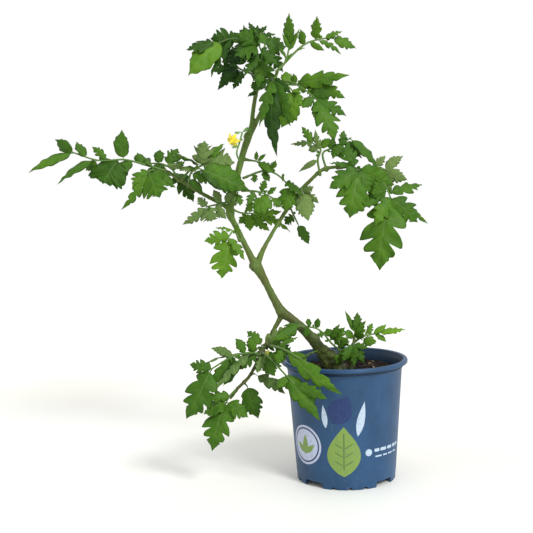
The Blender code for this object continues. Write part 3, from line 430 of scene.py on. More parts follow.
# A leaf is a stalk through its points and blades as (place along the stalk, tip, width, what sets it apart),
# all in millimetres. tone runs from 0, dark, to 1, young and yellow-green; low tones stand for older leaves
# and also paint the shade on leaves deep in the crown. Blades face the front unless they say otherwise, and
# under means that the underside is the one to be seen.
leafPlan = {
    "leaf_crown_left": {
        "tone": 0.3,
        "stalk": [(-84, 0, 411), (-87, -8, 438), (-102, -18, 450), (-124, -26, 444)],
        "blades": [(1.0, (-151, -34, 439), 15, {"kind": "lobed", "roll": 0.3}),
                   (0.75, (-126, -30, 415), 12),
                   (0.9, (-149, -36, 413), 20, {"tone": 0.76, "kind": "plain", "roll": 0.1}),
                   (0.66, (-128, -14, 451), 17, {"kind": "deep"}),
                   (0.5, (-108, -38, 420), 16, {"kind": "deep", "tone": 0.2}),
                   (0.4, (-93, -40, 425), 15, {"kind": "deep"}),
                   (0.3, (-105, 2, 459), 15, {"kind": "deep"}), (0.2, (-94, -12, 462), 12)],
    },
    "leaf_crown_dark": {
        # painted shade: the low tone darkens this leaf for the shade it hangs in behind the crown
        "tone": 0.14,
        "stalk": [(-82, 6, 414), (-90, 14, 419), (-100, 20, 424), (-106, 22, 431)],
        "blades": [(1.0, (-117, 24, 447), 17), (0.8, (-122, 20, 404), 11, {"kind": "toothed"}),
                   (0.75, (-128, 22, 424), 13), (0.9, (-96, 30, 450), 18), (0.6, (-107, 18, 405), 10),
                   (0.7, (-113, 26, 415), 12)],
    },
    "leaf_crown_middle": {
        "tone": 0.42,
        "stalk": [(-80, 2, 421), (-76, -17, 430), (-80, -31, 442)],
        "blades": [(1.0, (-104, -46, 430), 18, {"kind": "deep"}), (0.6, (-82, -24, 402), 13),
                   (0.95, (-101, -42, 452), 16, {"kind": "deep"}), (0.8, (-63, -38, 422), 12),
                   (0.7, (-94, -40, 412), 11, {"tone": 0.25}),
                   (0.9, (-84, -34, 456), 14, {"faces": "up", "kind": "deep"})],
    },
    "leaf_crown_right": {
        "tone": 0.48,
        "stalk": [(-81, 8, 421), (-77, 16, 440), (-73, 22, 449)],
        "blades": [(1.0, (-52, 28, 446), 16, {"kind": "lobed"}),
                   (0.8, (-57, 24, 422), 14, {"kind": "deep"}),
                   (0.5, (-67, 14, 409), 13, {"kind": "deep"}), (0.9, (-76, 28, 460), 13),
                   (0.65, (-86, 16, 412), 13, {"kind": "deep", "tone": 0.25}), (0.95, (-60, 30, 455), 10)],
    },
    "leaf_crown_tuft": {
        "tone": 0.24,
        "stalk": [(-81, 10, 429), (-83, 30, 450), (-84, 40, 459)],
        "blades": [(1.0, (-90, 42, 473), 7, {"kind": "toothed"}), (1.0, (-72, 44, 469), 9),
                   (0.8, (-99, 46, 466), 10), (0.8, (-64, 42, 461), 9), (0.9, (-81, 44, 470), 7),
                   (0.6, (-105, 40, 458), 10)],
    },
    "leaf_top_right": {
        "tone": 0.68,
        "stalk": [(-61, 8, 421), (-42, 14, 440), (-29, 18, 449), (-12, 22, 453), (-3, 24, 453)],
        "blades": [(1.0, (18, 26, 443), 13, {"kind": "toothed"}), (0.86, (4, 24, 459), 8),
                   (0.72, (-20, 20, 473), 11, {"kind": "toothed"}), (0.75, (2, 18, 437), 7),
                   (0.52, (-37, 16, 461), 8), (0.45, (-36, 12, 442), 6), (0.62, (-14, 20, 441), 5)],
    },
    "leaf_top_upright": {
        "tone": 0.62,
        "stalk": [(-62, 4, 420), (-53, 6, 430), (-49, 8, 446)],
        "blades": [(1.0, (-49, 10, 475), 11, {"kind": "toothed"}), (0.7, (-39, 12, 460), 6),
                   (0.5, (-60, 2, 442), 4), (0.85, (-56, 6, 456), 4), (0.35, (-47, 8, 437), 4)],
    },
    "leaf_upper_right": {
        "tone": 0.68,
        "stalk": [(-64, 0, 411), (-50, -6, 405), (-36, -10, 405), (-18, -14, 407)],
        "blades": [(0.4, (8, -20, 411), 15, {"kind": "lobed", "roll": 0.15}),
                   (0.9, (2, -22, 390), 12, {"kind": "lobed"}), (0.75, (-26, -14, 391), 10),
                   (0.45, (-46, -6, 415), 6), (0.6, (-38, -12, 396), 8)],
    },
    "leaf_drooping_right": {
        "tone": 0.48,
        "stalk": [(-66, -4, 406), (-50, -22, 406), (-36, -34, 397), (-24, -40, 386)],
        "blades": [(1.0, (-9, -44, 346), 20, {"kind": "deep", "roll": -0.2}),
                   (0.95, (1, -44, 372), 14, {"kind": "deep"}), (0.9, (-39, -42, 380), 10),
                   (0.85, (-11, -42, 391), 11), (0.98, (-27, -42, 367), 9)],
    },
    "leaf_hanging_dark": {
        "tone": 0.22,
        "stalk": [(-68, 0, 406), (-68, -14, 411), (-66, -24, 409)],
        "blades": [(1.0, (-65, -28, 333), 15, {"kind": "toothed", "roll": 0.2}),
                   (0.95, (-80, -38, 366), 14, {"tone": 0.5, "kind": "deep"}),
                   (0.9, (-52, -40, 366), 14, {"tone": 0.48, "kind": "toothed"}),
                   (0.8, (-86, -26, 398), 9), (0.7, (-50, -24, 396), 9)],
    },
    "leaf_hanging_light": {
        "tone": 0.85,
        "stalk": [(-65, 10, 411), (-54, 20, 408), (-46, 22, 400)],
        "blades": [(1.0, (-59, 20, 363), 21, {"kind": "broad"}), (0.9, (-37, 24, 385), 13),
                   (0.7, (-53, 26, 420), 12), (0.95, (-39, 18, 401), 9)],
    },
    "leaf_under_crown": {
        "tone": 0.4,
        "stalk": [(-84, 0, 395), (-82, -8, 400)],
        "blades": [(1.0, (-76, -12, 410), 9), (1.0, (-87, -12, 408), 8), (0.7, (-92, -10, 394), 5)],
    },
    "leaf_left_far": {
        "tone": 0.52,
        "stalk": [(-178, -7, 322), (-193, -10, 327), (-217, -14, 334), (-243, -18, 334), (-269, -22, 343)],
        "blades": [(0.97, (-307, -28, 325), 10, {"kind": "plain", "roll": 0.2}),
                   (1.0, (-284, -20, 355), 10, {"kind": "plain"}),
                   (0.84, (-264, -16, 352), 9, {"kind": "plain"}),
                   (0.75, (-279, -34, 313), 10, {"kind": "plain"}),
                   (0.5, (-238, -30, 310), 33, {"tone": 0.3, "kind": "broad", "roll": 0.1}),
                   (0.45, (-219, -8, 362), 14, {"kind": "plain"}), (0.72, (-257, -10, 325), 9),
                   (0.25, (-205, -4, 340), 10), (0.15, (-193, -8, 309), 12), (0.62, (-249, -12, 347), 9),
                   (0.35, (-225, -20, 322), 14, {"faces": "up", "kind": "toothed"})],
    },
    "leaf_left_near": {
        "tone": 0.52,
        "stalk": [(-174, -2, 318), (-182, 2, 321), (-190, -20, 323), (-193, -26, 321)],
        "blades": [(1.0, (-182, -32, 296), 25, {"kind": "lobed"}), (1.0, (-219, -34, 287), 10),
                   (0.9, (-209, -32, 306), 15), (0.8, (-168, -26, 306), 13, {"kind": "toothed"}),
                   (0.5, (-198, -6, 332), 12, {"faces": "up"})],
    },
    "leaf_left_fork": {
        "tone": 0.38,
        "stalk": [(-166, 0, 312), (-172, 10, 323), (-183, 14, 329), (-195, 16, 330)],
        "blades": [(1.0, (-212, 18, 337), 17, {"faces": "up", "kind": "toothed"}),
                   (0.55, (-167, 18, 343), 14, {"faces": "up"}),
                   (0.3, (-151, 8, 289), 17, {"kind": "deep"}), (0.8, (-185, 16, 343), 11),
                   (0.7, (-190, 12, 314), 17), (0.45, (-160, 12, 330), 13, {"faces": "up"})],
    },
    "leaf_arch_top": {
        "tone": 0.55, "under": True,
        "stalk": [(-162, -8, 312), (-152, -14, 322), (-140, -18, 326)],
        "blades": [(1.0, (-168, -20, 336), 13, {"faces": "up"}),
                   (1.0, (-137, -12, 351), 19, {"kind": "deep"}),
                   (1.0, (-107, -10, 329), 25, {"kind": "deep"}),
                   (0.5, (-178, -12, 327), 11, {"faces": "up"}),
                   (0.9, (-119, -12, 346), 13, {"under": False, "tone": 0.55}),
                   (0.75, (-160, -24, 322), 9)],
    },
    "leaf_over_stem": {
        "tone": 0.46,
        "stalk": [(-155, -8, 306), (-151, -20, 319), (-142, -26, 324)],
        "blades": [(1.0, (-93, -31, 300), 21, {"kind": "broad"}), (0.6, (-130, -16, 311), 11),
                   (0.97, (-117, -22, 299), 10, {"tone": 0.3}),
                   (0.35, (-141, -12, 300), 7, {"kind": "plain"})],
    },
    "leaf_below_left": {
        "tone": 0.45, "under": True,
        "stalk": [(-115, -6, 289), (-125, -12, 287), (-137, -14, 285)],
        "blades": [(1.0, (-160, -18, 269), 9), (0.95, (-145, -12, 294), 9),
                   (0.85, (-132, -16, 270), 17, {"kind": "deep"}), (0.4, (-129, -14, 301), 9),
                   (0.6, (-118, -14, 273), 9), (0.2, (-106, -8, 305), 8)],
    },
    "leaf_front_small": {
        "tone": 0.6,
        "stalk": [(-108, -6, 287), (-105, -14, 299)],
        "blades": [(1.0, (-129, -18, 309), 10), (0.9, (-103, -18, 286), 8)],
    },
    "leaf_drooping_light": {
        "tone": 0.74,
        "stalk": [(-105, -5, 250), (-110, -12, 260), (-116, -16, 253)],
        "blades": [(1.0, (-124, -20, 212), 23, {"kind": "deep"}), (0.85, (-138, -16, 251), 13),
                   (0.5, (-105, -14, 264), 9), (0.98, (-101, -20, 232), 10),
                   (0.6, (-127, -14, 263), 10, {"faces": "up"})],
    },
    "leaf_sprig": {
        "tone": 0.6,
        "stalk": [(-95, 4, 331), (-84, 0, 329)],
        "blades": [(1.0, (-76, -2, 336), 4), (0.8, (-85, 0, 339), 4)],
    },
    "leaf_arch_right": {
        "tone": 0.56,
        "stalk": [(-98, 6, 313), (-80, 10, 319), (-66, 6, 316), (-51, 2, 302)],
        "blades": [(1.0, (-58, -4, 278), 18), (0.6, (-84, 8, 328), 11, {"kind": "toothed"}),
                   (0.75, (-58, 4, 312), 9), (0.5, (-66, 10, 329), 8), (0.85, (-41, -2, 294), 11),
                   (0.35, (-73, 10, 309), 8), (0.2, (-88, 8, 308), 7)],
    },
    "leaf_mid_centre": {
        "tone": 0.58,
        "stalk": [(-100, 4, 300), (-83, -2, 298), (-70, -6, 292)],
        "blades": [(1.0, (-90, -10, 278), 17), (0.6, (-77, -4, 310), 8), (1.0, (-62, -8, 283), 10),
                   (0.4, (-95, -6, 286), 9), (0.8, (-66, -4, 302), 7), (0.7, (-77, -8, 280), 10)],
    },
    "leaf_low_centre": {
        "tone": 0.76,
        "stalk": [(-111, 2, 281), (-103, 8, 277), (-92, 12, 276)],
        "blades": [(1.0, (-55, 24, 256), 12, {"kind": "deep"}), (1.0, (-63, 14, 277), 10),
                   (0.9, (-93, 14, 288), 9), (0.8, (-94, 12, 259), 11), (0.75, (-105, 14, 266), 8),
                   (0.95, (-75, 18, 258), 10)],
    },
    "leaf_behind_branch": {
        "tone": 0.4,
        "stalk": [(-52, 10, 281), (-49, 18, 274), (-44, 22, 263)],
        "blades": [(1.0, (-34, 24, 243), 10, {"kind": "toothed"}), (0.5, (-57, 22, 264), 11)],
    },
    "leaf_branch_fan": {
        "tone": 0.68, "under": True,
        "stalk": [(-41, 10, 299), (-39, 2, 297)],
        "blades": [(1.0, (-35, -6, 268), 16, {"kind": "toothed"}), (0.9, (-24, -2, 286), 8),
                   (0.8, (-29, -4, 302), 8), (0.95, (-46, -4, 281), 9)],
    },
    "leaf_right_tall": {
        "tone": 0.6, "under": True,
        "stalk": [(-21, 8, 315), (-23, 4, 329), (-20, 2, 340), (-28, 0, 346)],
        "blades": [(1.0, (-49, -2, 345), 8, {"kind": "deep"}), (1.0, (-38, -2, 362), 9, {"under": False}),
                   (0.75, (-11, 0, 350), 8, {"under": False}), (0.4, (-42, 0, 318), 5, {"kind": "plain"}),
                   (0.8, (-32, 4, 339), 6), (0.65, (-25, 0, 358), 7)],
    },
    "leaf_right_back": {
        "tone": 0.48,
        "stalk": [(-14, 10, 319), (-17, 14, 336), (-3, 14, 342), (12, 12, 351)],
        "blades": [(1.0, (37, 4, 320), 13, {"faces": "right", "kind": "plain", "roll": 0.1}),
                   (0.6, (5, 12, 329), 6), (0.85, (22, 20, 331), 12, {"kind": "plain"}),
                   (0.75, (5, 18, 358), 8), (0.8, (-7, 6, 331), 11), (0.5, (-6, 14, 350), 9),
                   (0.9, (0, 10, 345), 9)],
    },
    "leaf_big_facing": {
        "tone": 0.52,
        "stalk": [(-2, 6, 320), (11, -6, 321), (17, -14, 318)],
        "blades": [(1.0, (6, -26, 270), 30, {"kind": "lobed", "roll": -0.15}), (0.98, (-14, -22, 300), 18),
                   (0.98, (31, -20, 292), 16), (0.8, (3, -8, 340), 14, {"faces": "up"}),
                   (0.95, (54, -10, 302), 18, {"kind": "broad"}),
                   (0.7, (-10, -10, 325), 14, {"faces": "up"})],
    },
    "leaf_right_pale": {
        "tone": 0.72, "under": True,
        "stalk": [(2, 12, 322), (28, 24, 318), (41, 26, 320), (49, 26, 317)],
        "blades": [(1.0, (66, 26, 330), 11), (1.0, (69, 24, 307), 13), (0.85, (54, 20, 294), 12),
                   (0.7, (48, 24, 331), 9)],
    },
    "leaf_biggest": {
        "tone": 0.54,
        "stalk": [(4, 6, 316), (22, 3, 311), (41, -8, 305), (49, -16, 288)],
        "blades": [(1.0, (36, -24, 216), 36, {"kind": "deep", "roll": 0.1}),
                   (1.0, (75, -20, 264), 20, {"kind": "deep"}), (0.85, (15, -14, 281), 13),
                   (0.82, (28, -20, 295), 15), (0.9, (80, -6, 301), 14, {"kind": "lobed"}),
                   (0.98, (86, -2, 263), 8), (0.95, (31, -22, 262), 15)],
    },
    "leaf_bottom_arch": {
        "tone": 0.5,
        "stalk": [(-85, -14, 132), (-97, -30, 138), (-115, -40, 136), (-136, -46, 125)],
        "blades": [(1.0, (-161, -50, 78), 25, {"tone": 0.45, "kind": "lobed", "roll": 0.15}),
                   (0.97, (-155, -46, 131), 13, {"tone": 0.4}),
                   (0.08, (-143, -48, 128), 14, {"faces": "up", "under": True, "kind": "deep", "tone": 0.3}),
                   (0.3, (-131, -50, 107), 11, {"under": True, "kind": "deep", "tone": 0.3}),
                   (0.55, (-124, -36, 105), 15, {"tone": 0.4, "kind": "plain"}),
                   (0.6, (-134, -42, 145), 9, {"under": True, "tone": 0.3}), (0.4, (-110, -34, 153), 10),
                   (0.2, (-97, -26, 152), 11), (0.15, (-108, -36, 122), 12, {"tone": 0.35}),
                   (0.65, (-139, -40, 106), 11)],
    },
    "leaf_bottom_top": {
        "tone": 0.5,
        "stalk": [(-81, -10, 143), (-85, -2, 140)],
        "blades": [(1.0, (-99, 4, 153), 12), (0.9, (-87, 6, 117), 12),
                   (0.5, (-56, -8, 159), 14, {"under": True, "kind": "deep"}), (0.7, (-66, -12, 143), 13)],
    },
    "leaf_bottom_low": {
        "tone": 0.44,
        "stalk": [(-111, -22, 100), (-118, -32, 95), (-122, -36, 89)],
        "blades": [(1.0, (-137, -40, 41), 24, {"kind": "deep"}),
                   (1.0, (-100, -38, 75), 15, {"kind": "lobed"}),
                   (1.0, (-145, -40, 78), 15, {"tone": 0.6, "kind": "toothed"}),
                   (0.6, (-144, -34, 93), 12, {"tone": 0.6})],
    },
    "leaf_bottom_dark": {
        "tone": 0.4,
        "stalk": [(-104, -16, 105), (-101, -12, 100)],
        "blades": [(1.0, (-90, -10, 67), 18, {"kind": "toothed", "roll": 0.2})],
    },
    "leaf_bottom_pale": {
        "tone": 0.62, "under": True,
        "stalk": [(-96, -14, 113), (-93, -8, 112)],
        "blades": [(1.0, (-64, -6, 90), 12, {"kind": "lobed", "tone": 0.3})],
    },
    "leaf_bottom_round": {
        "tone": 0.5,
        "stalk": [(-86, -12, 131), (-83, -18, 132)],
        "blades": [(1.0, (-73, -24, 113), 14), (0.8, (-62, -20, 128), 13, {"tone": 0.6}),
                   (0.9, (-90, -26, 118), 10, {"under": True})],
    },
    "leaf_yellow": {
        "tone": 0.6, "old": True,
        "stalk": [(-87, -12, 128), (-83, -10, 128)],
        "blades": [(1.0, (-77, -22, 138), 5)],
    },
    "leaf_over_pot": {
        "tone": 0.6,
        "stalk": [(-78, -10, 142), (-67, -50, 146), (-56, -66, 143), (-40, -74, 134)],
        "blades": [(0.68, (-8, -80, 104), 15, {"kind": "lobed", "roll": 0.4}),
                   (0.9, (-32, -72, 146), 10, {"faces": "up", "tone": 0.7}), (0.6, (-70, -56, 132), 11),
                   (0.45, (-50, -46, 154), 13, {"faces": "up", "kind": "deep"}),
                   (0.3, (-56, -34, 138), 14, {"tone": 0.35})],
    },
    "leaf_over_pot_low": {
        "tone": 0.52,
        "stalk": [(-85, -12, 135), (-77, -40, 134), (-63, -62, 122), (-50, -70, 110)],
        "blades": [(0.7, (-30, -76, 78), 16, {"kind": "toothed"}),
                   (0.95, (-25, -76, 101), 12, {"kind": "lobed"}), (0.8, (-70, -68, 110), 10),
                   (0.45, (-62, -46, 140), 12)],
    },
    "leaf_sucker_left": {
        "tone": 0.48,
        "stalk": [(4, -10, 128), (-12, -14, 141), (-27, -18, 158), (-48, -22, 163)],
        "blades": [(1.0, (-73, -26, 151), 12, {"kind": "toothed"}), (0.85, (-40, -24, 152), 8),
                   (0.95, (-62, -18, 163), 6), (0.3, (-1, -16, 158), 12, {"kind": "deep"}),
                   (0.5, (-14, -14, 157), 8, {"kind": "toothed"}), (0.7, (-27, -16, 169), 6),
                   (0.12, (-9, -16, 122), 10), (0.6, (-26, -20, 151), 7), (0.4, (-6, -18, 162), 7),
                   (0.8, (-38, -20, 169), 6), (0.2, (2, -18, 148), 10, {"kind": "deep"})],
    },
    "leaf_sucker_up": {
        "tone": 0.52,
        "stalk": [(10, -7, 146), (11, -6, 152)],
        "blades": [(1.0, (14, -5, 171), 10, {"kind": "toothed"}),
                   (0.8, (2, -4, 173), 5, {"kind": "plain"}), (0.6, (22, -6, 163), 7),
                   (0.3, (0, -10, 154), 9), (0.4, (19, -12, 150), 10)],
    },
    "leaf_sucker_right": {
        "tone": 0.7,
        "stalk": [(12, -5, 143), (21, -1, 147), (35, 3, 149)],
        "blades": [(1.0, (62, 6, 152), 8, {"tone": 1.0, "kind": "toothed"}), (0.55, (27, -2, 137), 13),
                   (0.6, (30, 2, 159), 7), (0.9, (43, 0, 141), 7), (0.3, (17, -4, 161), 8),
                   (0.8, (44, 4, 157), 6, {"tone": 0.9})],
    },
    "leaf_sucker_low": {
        "tone": 0.4,
        "stalk": [(9, -12, 141), (8, -18, 141)],
        "blades": [(1.0, (-3, -26, 127), 12, {"kind": "deep"}),
                   (1.0, (18, -24, 124), 11, {"kind": "deep"}), (0.6, (22, -20, 138), 9),
                   (0.9, (8, -28, 122), 9)],
    },
}
facing = {"front": (0, -1, 0.35), "up": (0, -0.35, 1), "left": (-0.7, -0.6, 0.4), "right": (0.7, -0.6, 0.4)}

# lobes on each side, how deep their notches go, teeth on each lobe and how deep these are
bladeKinds = {
    "plain": {"lobes": 3, "depth": 0.1, "front": 0.5, "notch": 0.3,
              "endLobe": 0.7, "teeth": 1, "bite": 0.0},
    "toothed": {"lobes": 4, "depth": 0.3, "front": 0.6, "notch": 0.22,
                "endLobe": 0.8, "teeth": 1, "bite": 0.05},
    "broad": {"lobes": 5, "depth": 0.16, "front": 0.5, "notch": 0.25,
              "endLobe": 0.85, "teeth": 2, "bite": 0.05},
    "lobed": {"lobes": 3, "depth": 0.48, "front": 0.42, "notch": 0.2,
              "endLobe": 0.72, "teeth": 2, "bite": 0.09},
    "deep": {"lobes": 3, "depth": 0.66, "front": 0.34, "notch": 0.18,
             "endLobe": 0.7, "teeth": 2, "bite": 0.1},
}
bladeMaking = {"rowLength": 1.0, "columnWidth": 1.4, "thickness": 0.32, "arch": 0.09, "cup": 0.2,
               "quilting": 0.035, "ruffle": 0.07, "midrib": 0.55, "twist": 0.45, "fullness": 1.3,
               "leanShare": 0.2, "rollSmall": 0.85, "rollLoss": 0.015, "rollLarge": 0.35,
               "slimBelow": 15}
outlinePlaces = [0.0, 0.03, 0.08, 0.16, 0.27, 0.4, 0.55, 0.7, 0.83, 0.93, 1.0]
outlineWidths = [0.02, 0.3, 0.6, 0.87, 1.0, 0.96, 0.8, 0.55, 0.3, 0.12, 0.0]


def addBlade(shape, base, tip, width, look, kind, tone, under, rng, roll=None):
    making = bladeMaking
    base, tip = np.array(base, float), np.array(tip, float)
    # no two blades hang alike: each leans forward or back, and rolls about its midrib
    tip[1] += making["leanShare"] * rng.uniform(-1, 1) * np.linalg.norm(tip - base)
    length = np.linalg.norm(tip - base)
    along = (tip - base) / length
    level = unit(np.cross(look, along))
    chance = rng.uniform(-1, 1) * max(making["rollSmall"] - making["rollLoss"] * width, making["rollLarge"])
    roll = chance if roll is None else roll
    side = level * math.cos(roll) + np.cross(along, level) * math.sin(roll)
    normal = np.cross(along, side)
    width = width / math.cos(roll) ** 0.7
    rows = int(min(max(length / making["rowLength"], 14), 64))
    half = int(min(max(width / 2 / making["columnWidth"], 3), 10))
    kind = bladeKinds[kind]

    # the stalk of the blade takes up its first part
    foot = 0.03 + 0.07 * rng.random()
    s = np.linspace(0, 1, rows + 1)[:, None]
    t = np.linspace(-1, 1, 2 * half + 1)[None, :]
    # lobes fill the blade up to the end lobe, and those of one side sit a little ahead of the other's
    lobeRun = s / kind["endLobe"] * kind["lobes"] + np.where(t < 0, 0.12, -0.12) + 0.2 * (rng.random() - 0.5)
    part = lobeRun % 1.0
    lobe = np.clip(part / kind["front"], 0, 1) * np.clip((1 - part) / kind["notch"], 0, 1)
    lobe = lobe ** 0.75
    bite = (lobeRun * kind["teeth"] + 0.35) % 1.0
    bite = np.where(bite < 0.75, bite / 0.75, (1 - bite) / 0.25)
    envelope = np.interp(s[:, 0], outlinePlaces, outlineWidths)[:, None]
    # the notches fade out near the foot and in the end lobe
    strength = np.clip(s / 0.06, 0, 1) * np.clip((kind["endLobe"] + 0.06 - s) / 0.08, 0, 1)
    edge = np.clip(s / 0.08, 0, 1) * np.clip((1 - s) / 0.15, 0, 1)
    reach = envelope * (1 - strength * kind["depth"] * (1 - lobe)) * (1 - edge * kind["bite"] * (1 - bite))
    reach = reach * width / 2 * making["fullness"] * (1 + 0.08 * rng.uniform(-1, 1) * np.sign(t))

    lean = -0.25 + 1.05 * np.clip(s / 0.35, 0, 1) - 0.45 * np.clip((s - 0.55) / 0.4, 0, 1)
    forward = np.abs(t) * reach * lean * (1 - 0.2 * np.abs(t))
    across = t * reach
    run = (foot + (1 - foot) * s) * length * np.ones_like(t) + forward * edge
    run = np.minimum(run, length * 1.02)

    share = np.clip(run / length, 0, 1)
    lift = making["arch"] * length * 4 * share * (1 - share) - making["cup"] * np.abs(across)
    veinPlace = lobeRun - 0.62
    pillow = np.sin(np.pi * veinPlace) ** 2 * (1 - t * t) * np.minimum(np.abs(t) * 4, 1)
    lift = lift + making["quilting"] * width * pillow * edge
    wave = rng.uniform(0, 6.28)
    ripple = np.sin(lobeRun * 2 * math.pi * 0.75 + wave + (t > 0) * 1.7)
    lift = lift + making["ruffle"] * width * t * t * ripple
    lift = lift - 0.35 * np.exp(-(t / 0.12) ** 2) * min(width / 14, 1.0)
    lift = lift + 0.012 * width * np.sin(s * 9 + wave) * np.cos(t * 2.3 + wave)
    turn = making["twist"] * rng.uniform(-1, 1) * (s - 0.3)
    bow = 0.04 * length * rng.uniform(-1, 1) * np.sin(math.pi * s)

    points = (base + run[..., None] * along
              + (across * np.cos(turn) + bow)[..., None] * side
              + (lift + across * np.sin(turn))[..., None] * normal)

    # upper and lower skins share the rim, so the blade is one closed body
    thick = making["thickness"] * (1 - np.abs(t) ** 6) * np.ones_like(s)
    thick[0, :], thick[-1, :] = 0, 0
    columns = 2 * half + 1
    top = points + normal * (thick / 2)[..., None]
    low = points - normal * (thick / 2)[..., None]
    index = np.arange((rows + 1) * columns).reshape(rows + 1, columns)
    inner = np.zeros_like(index, bool)
    inner[1:-1, 1:-1] = True
    lower = index.copy()
    lower[inner] = index.size + np.arange(inner.sum())
    place = np.stack([veinPlace * np.ones_like(t), t * np.ones_like(s), np.full(index.shape, tone)], -1)
    vertices = np.vstack([top.reshape(-1, 3), low[inner]])
    places = np.vstack([place.reshape(-1, 3), place[inner]])
    faces, slots = [], []
    upSlot, downSlot = (1, 0) if under else (0, 1)
    for i in range(rows):
        for j in range(columns - 1):
            a, b, c, d = index[i, j], index[i, j + 1], index[i + 1, j + 1], index[i + 1, j]
            faces.append((a, d, c, b))
            slots.append(upSlot)
            a, b, c, d = lower[i, j], lower[i, j + 1], lower[i + 1, j + 1], lower[i + 1, j]
            faces.append((a, b, c, d))
            slots.append(downSlot)
    shape.add(vertices, faces, slots, places)

    # the midrib, which is also the blade's own stalk at its foot
    middle = points[:, half]
    rib = np.vstack([base[None], middle[: int(rows * 0.92)]])
    thickRib = np.linspace(making["midrib"], 0.16, len(rib)) * min(1.15, 0.55 + width / 40)
    rib = np.column_stack([rib - normal * thickRib[:, None] * (0.35 if not under else -0.35), thickRib])
    shape.tube(rib, 6, 2, (0, 0, tone))


def kindFor(width, rng):
    # middling leaflets are cut deeply or only toothed, by chance
    middling = "deep" if rng.random() < 0.6 else "toothed"
    return "lobed" if width >= 15 else middling if width >= 7 else "plain"


def makeLeaf(name, plan):
    rng = random.Random(name)
    shape = Shape()
    stalk = [(*point, radius) for point, radius in
             zip(plan["stalk"], np.linspace(1.2, 0.75, len(plan["stalk"])))]
    path = smoothPath(stalk, 8)
    shape.tube(path, 12, 2, (0, 0, plan["tone"]), ridges=0.06)
    for blade in plan["blades"]:
        share, tip, width = blade[:3]
        extras = blade[3] if len(blade) > 3 else {}
        base = placeAlong(path, min(share, 0.97))[:3]
        kind = extras.get("kind", kindFor(width, rng))
        if width < bladeMaking["slimBelow"]:
            # the smaller leaflets are drawn out and slim
            tip, width = np.array(base) + (np.array(tip) - base) * 1.08, width * 0.9
        tone = extras.get("tone", plan["tone"]) + 0.08 * rng.uniform(-1, 1)
        under = extras.get("under", plan.get("under", False))
        look = facing[extras.get("faces", "front")]
        addBlade(shape, base, tip, width, look, kind, tone, under, rng, extras.get("roll"))
    # tiny leaflets grow between the main ones
    length = np.linalg.norm(np.diff(path[:, :3], axis=0), axis=1).sum()
    for _ in range(int(length / 14)):
        share = rng.uniform(0.35, 0.92)
        base = placeAlong(path, share)[:3]
        ahead = unit(placeAlong(path, min(share + 0.05, 1))[:3] - base)
        outward = unit(np.cross(ahead, facing["front"])) * rng.choice((-1, 1))
        tip = base + (outward * 0.9 + ahead * 0.4) * rng.uniform(3, 5.5) + np.array((0, -0.6, 0.3))
        addBlade(shape, base, tip, rng.uniform(1.8, 3.0), facing["front"], "plain", plan["tone"], False, rng)
    top = oldLeafTop if plan.get("old") else leafTop
    leaf = shape.build(name.replace("leaf_", "tomato_leaf_"), [top, leafUnder, leafStalk])
    finishPiece(leaf, "old_leaf" if plan.get("old") else "leaf_blade", name)


leafStalk = makeStalkMaterial()
for leafName, leafPlanned in leafPlan.items():
    makeLeaf(leafName, leafPlanned)
print("leaves made:", len(leafPlan))
makeStems()
print("stems made")


potSize = {
    "height": 125.0, "rimRadius": 65.0, "neckRadius": 59.2, "neckHeight": 116.0, "footRadius": 51.0,
    "wall": 1.3, "lipDepth": 4.3, "lipWall": 1.3, "floorUnder": 6.4, "floorTop": 7.9, "padRadius": 9.0,
    "footWall": 2.2,
    "notchHeight": 5.8, "notchWidth": 23.0, "nickRadius": 2.6, "nickSpacing": 18.0, "holeRadius": 4.0,
    "holeCircle": 36.0, "segments": 256,
}
# the darkest of these colours is painted shadow for the groove under the lip
potColour = {
    "wall": "#264A6E", "deep": "#1D3B5A", "worn": "#4A6D90", "dust": "#6B7680", "inside": "#15283D",
    "lipShade": "#0B1119", "grit": 0.9 * 4, "patch": 34.0, "scuff": 3.0, "peel": 1.4,
}


def wallRadius(height):
    size = potSize
    return size["footRadius"] + (size["neckRadius"] - size["footRadius"]) * height / size["neckHeight"]


